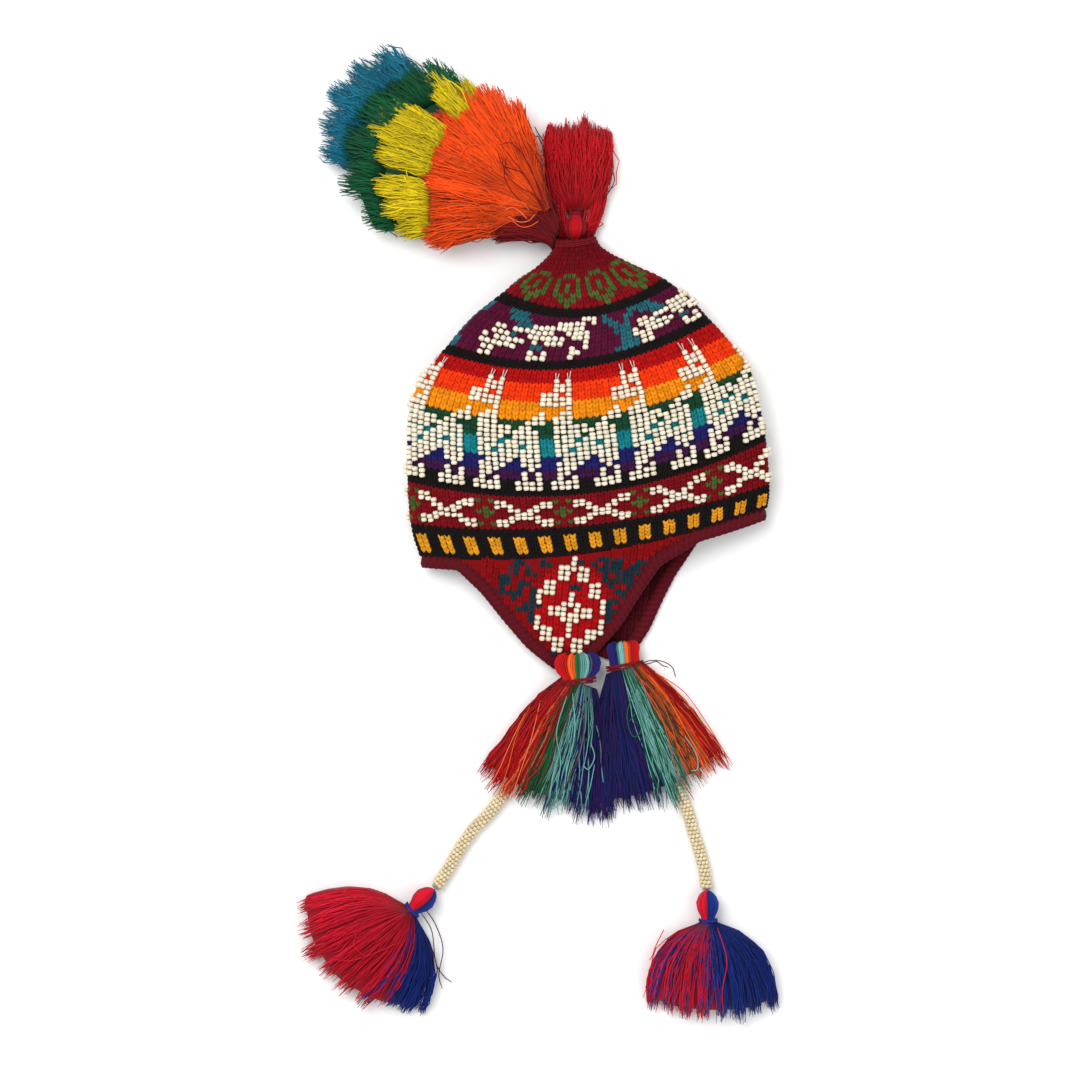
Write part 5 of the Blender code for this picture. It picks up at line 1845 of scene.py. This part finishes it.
def brush_skirt(count=150, steps=11):
    """Strands that come up beside the knob, from the neck into the brush."""
    rng = np.random.default_rng(47)
    side = rng.uniform(-1.0, 1.0, count)
    side = np.sign(side) * np.abs(side) ** 0.25
    start = FOOT + np.stack([side * 0.0108, rng.uniform(-0.001, 0.004, count)], -1)
    level = KNOB_SIZE / 2.0 + rng.uniform(-0.7, 0.0, count) * KNOB_SIZE / 2.0
    along = np.linspace(0.30, rng.uniform(0.88, 1.0, count), steps - 4).T
    upper = fringe_places(
        BRUSH, np.repeat(side[:, None] * 0.98, steps - 4, 1), along, np.full((count, steps - 4), 0.8)
    )
    first = lifted(start, level)[:, None]
    climb = np.linspace(0.0, 1.0, 5)[None, :-1, None]
    bulge = np.stack([side * 0.0025, np.zeros(count), np.zeros(count)], -1)[:, None]
    paths = np.concatenate([first + (upper[:, :1] - first) * climb + bulge * np.sin(math.pi * climb), upper], 1)
    paths = waving(paths, rng, 0.0008, 1.2)
    part = tubes(paths, np.full((count, steps), STRAND), 3)
    colours = np.repeat(DYES["brush_red"][None], count, 0)
    # the last number is how far painted shade darkens the strands towards their roots
    return part, strand_colours(colours, steps, 3, rng, 0.3)


skirt_part, skirt_colours = brush_skirt()
yarn_piece("brush_skirt", [(skirt_part, skirt_colours)])
tie_piece("brush_winding", BRUSH, "crimson", ("crown_tassel_tie",))

# %% [markdown]
# # The plume
# Five tiers of yarn fan out from one root, each starting under the tips of the one before. A tier is made
# of clumps: inside a clump the strands run side by side, so the clumps part as the fan widens. The strands
# lie between the table and the plume's profile, which is highest in its middle. Angles are in degrees.

# %% Plume
PLUME_THICKNESS = 0.044
PLUME_ROOT = FOOT + np.array([-0.0165, 0.0165])
PLUME_STEM = FOOT + np.array([[-0.0098, 0.0120], [-0.0157, -0.0085]])
PLUME_TIERS = (
    # name, from angle, to angle, radius, shares of it at five angles, strands, dye, dye between clumps, slot
    ("plume_red_tier", 112.0, 208.0, 0.036, (1.00, 1.00, 1.00, 1.10, 1.20), 520, "stem_red", "stem_red",
     "dark_red_yarn"),
    ("plume_orange_tier", 106.0, 198.0, 0.091, (0.62, 1.00, 1.00, 1.00, 0.99), 1900, "plume_orange",
     "plume_orange", "orange_yarn"),
    ("plume_yellow_tier", 122.0, 191.0, 0.128, (0.80, 0.94, 1.02, 0.98, 0.85), 1380, "plume_yellow",
     "plume_green", "yellow_yarn"),
    ("plume_green_tier", 126.0, 186.0, 0.147, (0.80, 0.98, 1.06, 1.00, 0.90), 1380, "plume_green",
     "plume_green", "green_yarn"),
    ("plume_teal_tier", 133.0, 168.0, 0.170, (0.89, 0.98, 1.01, 0.99, 0.90), 1000, "plume_teal",
     "plume_teal", "teal_yarn"),
)
PLUME_CLUMPS = (
    # angle, half of its width, reach, share of the strands, where it starts: one table for each tier
    ((122.0, 10.0, 0.036, 1.0, 0.0), (141.0, 10.0, 0.036, 1.0, 0.0), (160.0, 10.0, 0.037, 1.0, 0.0),
     (179.0, 10.0, 0.040, 1.0, 0.0), (198.0, 10.0, 0.043, 1.4, 0.0)),
    ((110.0, 6.0, 0.078, 0.8, 0.006), (120.0, 7.0, 0.093, 1.0, 0.006), (131.0, 7.5, 0.098, 1.2, 0.006),
     (143.0, 7.5, 0.100, 1.2, 0.006), (155.0, 7.5, 0.096, 1.2, 0.006), (166.0, 6.0, 0.087, 1.0, 0.006),
     (180.0, 6.5, 0.079, 0.9, 0.012), (191.5, 6.5, 0.085, 1.0, 0.012)),
    ((124.5, 3.4, 0.106, 0.8, 0.062), (132.0, 4.6, 0.119, 1.2, 0.066), (146.5, 4.6, 0.133, 1.1, 0.070),
     (154.0, 4.6, 0.131, 1.1, 0.070), (161.0, 3.4, 0.123, 0.8, 0.068), (171.5, 4.0, 0.118, 1.0, 0.060),
     (179.0, 4.4, 0.111, 1.0, 0.058), (187.0, 4.0, 0.102, 0.9, 0.058)),
    ((129.5, 4.5, 0.128, 1.0, 0.092), (138.5, 6.0, 0.141, 1.2, 0.094), (149.0, 6.5, 0.147, 1.2, 0.100),
     (160.0, 6.5, 0.146, 1.2, 0.098), (170.5, 6.0, 0.140, 1.2, 0.086), (180.5, 5.5, 0.123, 1.0, 0.080),
     (139.4, 2.6, 0.118, 0.35, 0.080), (166.3, 2.8, 0.116, 0.35, 0.074)),
    ((136.5, 4.0, 0.158, 1.0, 0.122), (143.0, 4.5, 0.165, 1.1, 0.124), (150.0, 4.5, 0.168, 1.1, 0.126),
     (157.0, 4.5, 0.165, 1.1, 0.124), (163.5, 4.0, 0.158, 1.0, 0.120)),
)
PLUME_PROFILE = np.array(
    # share of the last tier's radius, share of the thickness
    [[0.0, 0.36], [0.14, 0.56], [0.34, 0.92], [0.5, 1.0], [0.75, 0.8], [0.9, 0.52], [1.0, 0.16]]
)
PLUME_RAMP = 0.024
TIER_TIP_THICKNESS = 0.0028
PLUME_STRAND = 0.0005
ROOT_COVER = 0.046


def plume_height(run):
    """How high the plume is at a distance from its root, by its profile."""
    return np.interp(run / PLUME_TIERS[-1][3], PLUME_PROFILE[:, 0], PLUME_PROFILE[:, 1]) * PLUME_THICKNESS


def tier_tip(tier, angle):
    """How far from the root a tier's tips are at an angle: its radius times its share there."""
    _, low_angle, high_angle, radius, shares, *_ = tier
    share = np.clip((angle - low_angle) / (high_angle - low_angle), 0.0, 1.0)
    return radius * np.interp(share, np.linspace(0.0, 1.0, len(shares)), shares)


def edge_fall(share):
    """How much of its height a tier keeps near its two sides, by a square root."""
    round_off = np.clip(np.minimum(share, 1.0 - share) * 7.0, 0.0, 1.0) ** 0.5
    return 0.62 + 0.38 * round_off


def tier_floor(tier, angle, run):
    """How high the under side of a tier's tips is. It rises evenly over the ramp before them."""
    tip = tier_tip(tier, angle)
    share = np.clip((run - (tip - PLUME_RAMP)) / PLUME_RAMP, 0.0, 1.0)
    return share * (plume_height(tip) - TIER_TIP_THICKNESS)


def tier_strands(index, rng, steps=8):
    """A tier's strands: each belongs to a clump, starts among the tier before and ends at its own length."""
    _, low_angle, high_angle, _, _, count, colour, _, _ = PLUME_TIERS[index]
    clumps = np.array(PLUME_CLUMPS[index])
    which = rng.choice(len(clumps), count, p=clumps[:, 3] / clumps[:, 3].sum())
    across = rng.uniform(-1.0, 1.0, count)
    centre, half, reach, _, first = clumps[which].T
    uneven = 1.0 + 0.05 * rng.normal(-0.4, 1.0, count).clip(-2.6, 0.9)
    tip = reach * (1.0 - 0.10 * np.abs(across) ** 3) * uneven
    begin = first + rng.uniform(-0.5, 0.5, count) * (0.012 if index else 0.0) + (0.003 if index == 1 else 0.0)
    run = begin[:, None] + (tip - begin)[:, None] * np.linspace(0.0, 1.0, steps)
    grown = run / tip[:, None]
    spread = 0.72 + 0.28 * np.linspace(0.0, 1.0, steps)[None, :] ** 1.5
    lean = (across * half)[:, None] * spread + rng.normal(0.0, 0.8, count)[:, None] * (1.0 - grown)
    angle = centre[:, None] + lean
    flat = PLUME_ROOT + heading(angle) * run[..., None]
    depth = 1.0 - rng.random(count) ** 1.3 * np.where(rng.random(count) < 0.8, 0.22, 0.85)
    share = (angle - low_angle) / (high_angle - low_angle)
    high = plume_height(run) * edge_fall(share) * (1.0 - 0.10 * across[:, None] ** 4)
    height = high * depth[:, None]
    if index > 1:
        cover = tier_tip(PLUME_TIERS[index - 1], angle)
        start = tier_floor(PLUME_TIERS[index - 1], angle, run)
        bridging = np.clip((run - cover + 0.010) / 0.010, 0.0, 1.0)
        height = np.where(run < cover, np.minimum(height, start + bridging * (height - start)), height)
    elif index == 1:
        over = 0.001 + 0.008 * (1.0 - run / ROOT_COVER) ** 2 - 0.005 * (run / ROOT_COVER) ** 4
        height = np.where(run < ROOT_COVER, np.maximum(height, high + over), height)
    else:
        stem = PLUME_STEM[0] + (PLUME_STEM[1] - PLUME_STEM[0]) * np.clip(share[:, :1], 0.0, 1.0)
        flat = stem[:, None] * (1.0 - grown[..., None]) + flat * grown[..., None]
    tip_level = np.interp(grown, [0.0, 0.7, 1.0], [1.0, 1.0, 0.84])
    paths = lifted(flat, np.maximum(height * tip_level, LOWEST))
    own = np.where(rng.random((count, 1)) < 0.10, 2.4, 1.0)
    paths = waving(paths, rng, (0.0013 if index else 0.0008) * own, 1.1)
    taper = np.interp(np.linspace(0.0, 1.0, steps), [0.0, 0.9, 1.0], [1.0, 1.0, 0.5])
    part = tubes(paths, PLUME_STRAND * rng.uniform(0.8, 1.2, (count, 1)) * taper, 3)
    colours = DYES[colour] * rng.uniform(0.85, 1.1, len(clumps))[which][:, None]
    # the last number is how far painted shade darkens the strands towards their roots, under the tier before
    return part, strand_colours(colours, steps, 3, rng, 0.45)


def tier_core(index, steps=16, columns=61):
    """A closed body under a tier's strands, painted dark as shade. Between clumps it shows the dye of what lies
    there, darkened as painted shade.
    """
    tier = PLUME_TIERS[index]
    _, low_angle, high_angle, _, _, _, colour, between, _ = tier
    clumps = np.array(PLUME_CLUMPS[index])
    angle = np.linspace(low_angle + 1.0, high_angle - 1.0, columns)
    tip = tier_tip(tier, angle) * 0.90
    begin = tier_tip(PLUME_TIERS[index - 1], angle) - 0.010 if index else np.zeros(columns)
    run = begin + (tip - begin) * np.linspace(0.0, 1.0, steps)[:, None]
    flat = PLUME_ROOT + heading(np.broadcast_to(angle, run.shape)) * run[..., None]
    share = np.linspace(0.0, 1.0, columns)
    if not index:
        stem = PLUME_STEM[0] + (PLUME_STEM[1] - PLUME_STEM[0]) * share[:, None]
        grown = (run / tip)[..., None]
        flat = stem * (1.0 - grown) + flat * grown
    high = plume_height(run) * edge_fall(share) * 0.74
    if index:
        before = PLUME_TIERS[index - 1]
        under = run < tier_tip(before, angle)
        high = np.where(under, np.minimum(high, tier_floor(before, angle, run) - 0.001), high)
    low = tier_floor(tier, angle, run) if index < len(PLUME_TIERS) - 1 else np.zeros(run.shape)
    low = np.minimum(low, high - 0.0015).clip(0.0)
    high = np.maximum(high, low + 0.001)
    part = slab(lifted(flat, high), lifted(flat, low))
    apart = (np.abs(angle[:, None] - clumps[:, 0]) - clumps[:, 1]).min(1) > 0.4
    # painted shade: the core is the dyes darkened, between clumps and under them
    shades = np.where(apart[:, None], DYES[between] * 0.30, DYES[colour] * 0.36)
    return part, np.tile(shades, (2 * steps, 1))


PLUME_STRAYS = {
    "plume_red_tier": (
        (
            ((548, 222), (538, 205), (528, 185), (514, 168), (506, 158)),
            ((546, 218), (534, 196), (522, 178), (504, 172), (498, 160)),
            ((548, 214), (540, 194), (530, 174), (522, 158), (518, 150)),
            ((550, 220), (536, 200), (520, 192), (506, 180), (502, 165)),
            ((550, 210), (545, 190), (541, 172), (534, 160), (530, 152)),
            ((548, 226), (530, 212), (515, 200), (505, 184), (506, 165)),
            ((552, 214), (549, 196), (546, 178), (540, 164), (534, 158)),
            ((545, 212), (537, 190), (528, 168), (512, 150), (500, 152)),
        ),
        ((0.024, 0.044),) * 8,
        ("stem_red",) * 8,
    ),
    "plume_orange_tier": (
        (
            ((505, 216), (512, 213), (520, 217), (527, 224)),
            ((508, 222), (518, 227), (528, 226), (535, 219)),
            ((500, 212), (511, 206), (522, 208), (529, 215)),
            ((512, 226), (521, 232), (530, 231), (538, 226)),
            ((460, 165), (468, 153), (480, 152), (492, 160), (500, 175)),
            ((470, 200), (480, 215), (495, 222), (512, 226)),
            ((452, 180), (470, 186), (488, 196), (505, 212), (515, 222)),
            ((498, 98), (502, 92), (505, 100), (508, 106)),
        ),
        ((0.043, 0.040),) * 7 + ((0.026, 0.018),),
        yarns("salmon") * 3 + ("plume_orange",) * 5,
    ),
    "plume_yellow_tier": (
        (
            ((415, 190), (408, 178), (410, 165), (412, 150)),
            ((416, 110), (424, 120), (432, 128), (438, 132)),
            ((374, 192), (390, 193), (402, 190), (414, 188)),
            ((405, 180), (412, 192), (422, 190), (430, 186)),
        ),
        ((0.036, 0.034), (0.034, 0.036), (0.030, 0.036), (0.036, 0.036)),
        ("plume_yellow",) * 4,
    ),
}
for index, tier in enumerate(PLUME_TIERS):
    tier_rng = np.random.default_rng(70 + index)
    tier_parts = [tier_core(index), tier_strands(index, tier_rng)]
    if tier[0] in PLUME_STRAYS:
        tier_parts.append(stray_strands(*PLUME_STRAYS[tier[0]], tier_rng))
    yarn_piece(tier[0] + "_yarn", tier_parts, (tier[0],))

# %% [markdown]
# # Loose threads of the knitting
# At the tip of each llama's ear two ends of the bead thread stand up, and the neck is wound with yarn.

# %% Threads
EAR_ROW = 23
THREAD_RADIUS = 0.00028


def ear_threads():
    """Two short threads above each ear, on the upper and the under side."""
    rng = np.random.default_rng(90)
    row_start = sum(band[1] for band in BANDS[:2])
    _, _, stitches, _, _ = BANDS[2]
    letters = repeated(LLAMA, LLAMA_START, stitches)
    columns = np.nonzero(letters[EAR_ROW] == "b")[0]
    paths = []
    for column in columns:
        for side in (-0.22, 0.26):
            t = np.linspace(0.0, 1.0, 6)
            u = (column + 0.5 + side * (0.4 + 0.8 * t)) / stitches
            v = row_start + EAR_ROW + 0.7 + (1.5 + rng.uniform(0.0, 0.5)) * t
            places, _ = on_crown(u, v, 0.0012 + 0.0008 * t)
            paths.append(places)
    return tubes(np.stack(paths), np.full((len(paths), 6), THREAD_RADIUS), 4)


def neck_winding():
    """Three turns of yarn round the neck, less than half a row of knitting apart."""
    turn = np.linspace(0.0, 3.0, 130)
    places, _ = on_crown(turn % 1.0, ROWS - 1.6 + 0.45 * turn, np.full(130, 0.0004))
    return tubes(places[None], np.full((1, 130), 0.0006), 6)


thread_part = ear_threads()
thread_colours = np.repeat(DYES["thread"][None], len(thread_part[0]), 0)
yarn_piece("ear_threads", [(thread_part, thread_colours)])
neck_part = neck_winding()
neck_colours = np.repeat(DYES["crimson"][None], len(neck_part[0]), 0)
yarn_piece("neck_winding", [(neck_part, neck_colours)])

# %% [markdown]
# # Floor, light and camera
# A pale floor, a wide soft light from the upper left, a weaker one from the right, and an even white sky.
# The camera looks straight down, as the photo does, from where the whole hat fills the square.

# %% Stage
PICTURE_WIDTH = 0.7344
CAMERA_HEIGHT = 1.65
SENSOR = 36.0
PICTURE_LEVEL = 0.012
SKY_STRENGTH = 0.62
LIGHTS = (
    # name, place, width, power
    ("key", (-0.55, 0.55, 1.5), 1.1, 21.0),
    ("fill", (0.9, -0.5, 1.3), 1.4, 7.0),
)


def stage():
    """The floor, the lights, the sky and the camera.

    The lens is the sensor's width times the camera's distance, divided by the width of the picture.
    """
    settings = {"Base Color": (0.93, 0.93, 0.93, 1.0), "Roughness": 0.9, "Specular IOR Level": 0.1}
    surface = Surface("floor", settings)
    mesh = bpy.data.meshes.new("floor")
    half = 6.0
    corners = [(-half, -half, 0), (half, -half, 0), (half, half, 0), (-half, half, 0)]
    mesh.from_pydata(corners, [], [(0, 1, 2, 3)])
    mesh.materials.append(surface.material)
    floor = bpy.data.objects.new("floor", mesh)
    floor.location.z = -0.0002
    bpy.context.scene.collection.objects.link(floor)
    for name, place, size, power in LIGHTS:
        light = bpy.data.lights.new(name, "AREA")
        light.size = size
        light.energy = power
        made = bpy.data.objects.new(name, light)
        made.location = place
        aim = math.atan2(math.hypot(place[0], place[1]), place[2])
        made.rotation_euler = (0.0, aim, math.atan2(place[1], place[0]))
        bpy.context.scene.collection.objects.link(made)
    world = bpy.data.worlds.new("sky")
    world.use_nodes = True
    world.node_tree.nodes["Background"].inputs["Color"].default_value = (1.0, 1.0, 1.0, 1.0)
    world.node_tree.nodes["Background"].inputs["Strength"].default_value = SKY_STRENGTH
    bpy.context.scene.world = world
    camera = bpy.data.cameras.new("camera")
    camera.sensor_width = SENSOR
    camera.lens = SENSOR * (CAMERA_HEIGHT - PICTURE_LEVEL) / PICTURE_WIDTH
    camera.clip_end = 20.0
    view = bpy.data.objects.new("camera", camera)
    view.location = (SHIFT[0], SHIFT[1], CAMERA_HEIGHT)
    bpy.context.scene.collection.objects.link(view)
    bpy.context.scene.camera = view
    bpy.context.scene.view_settings.view_transform = "Standard"


stage()
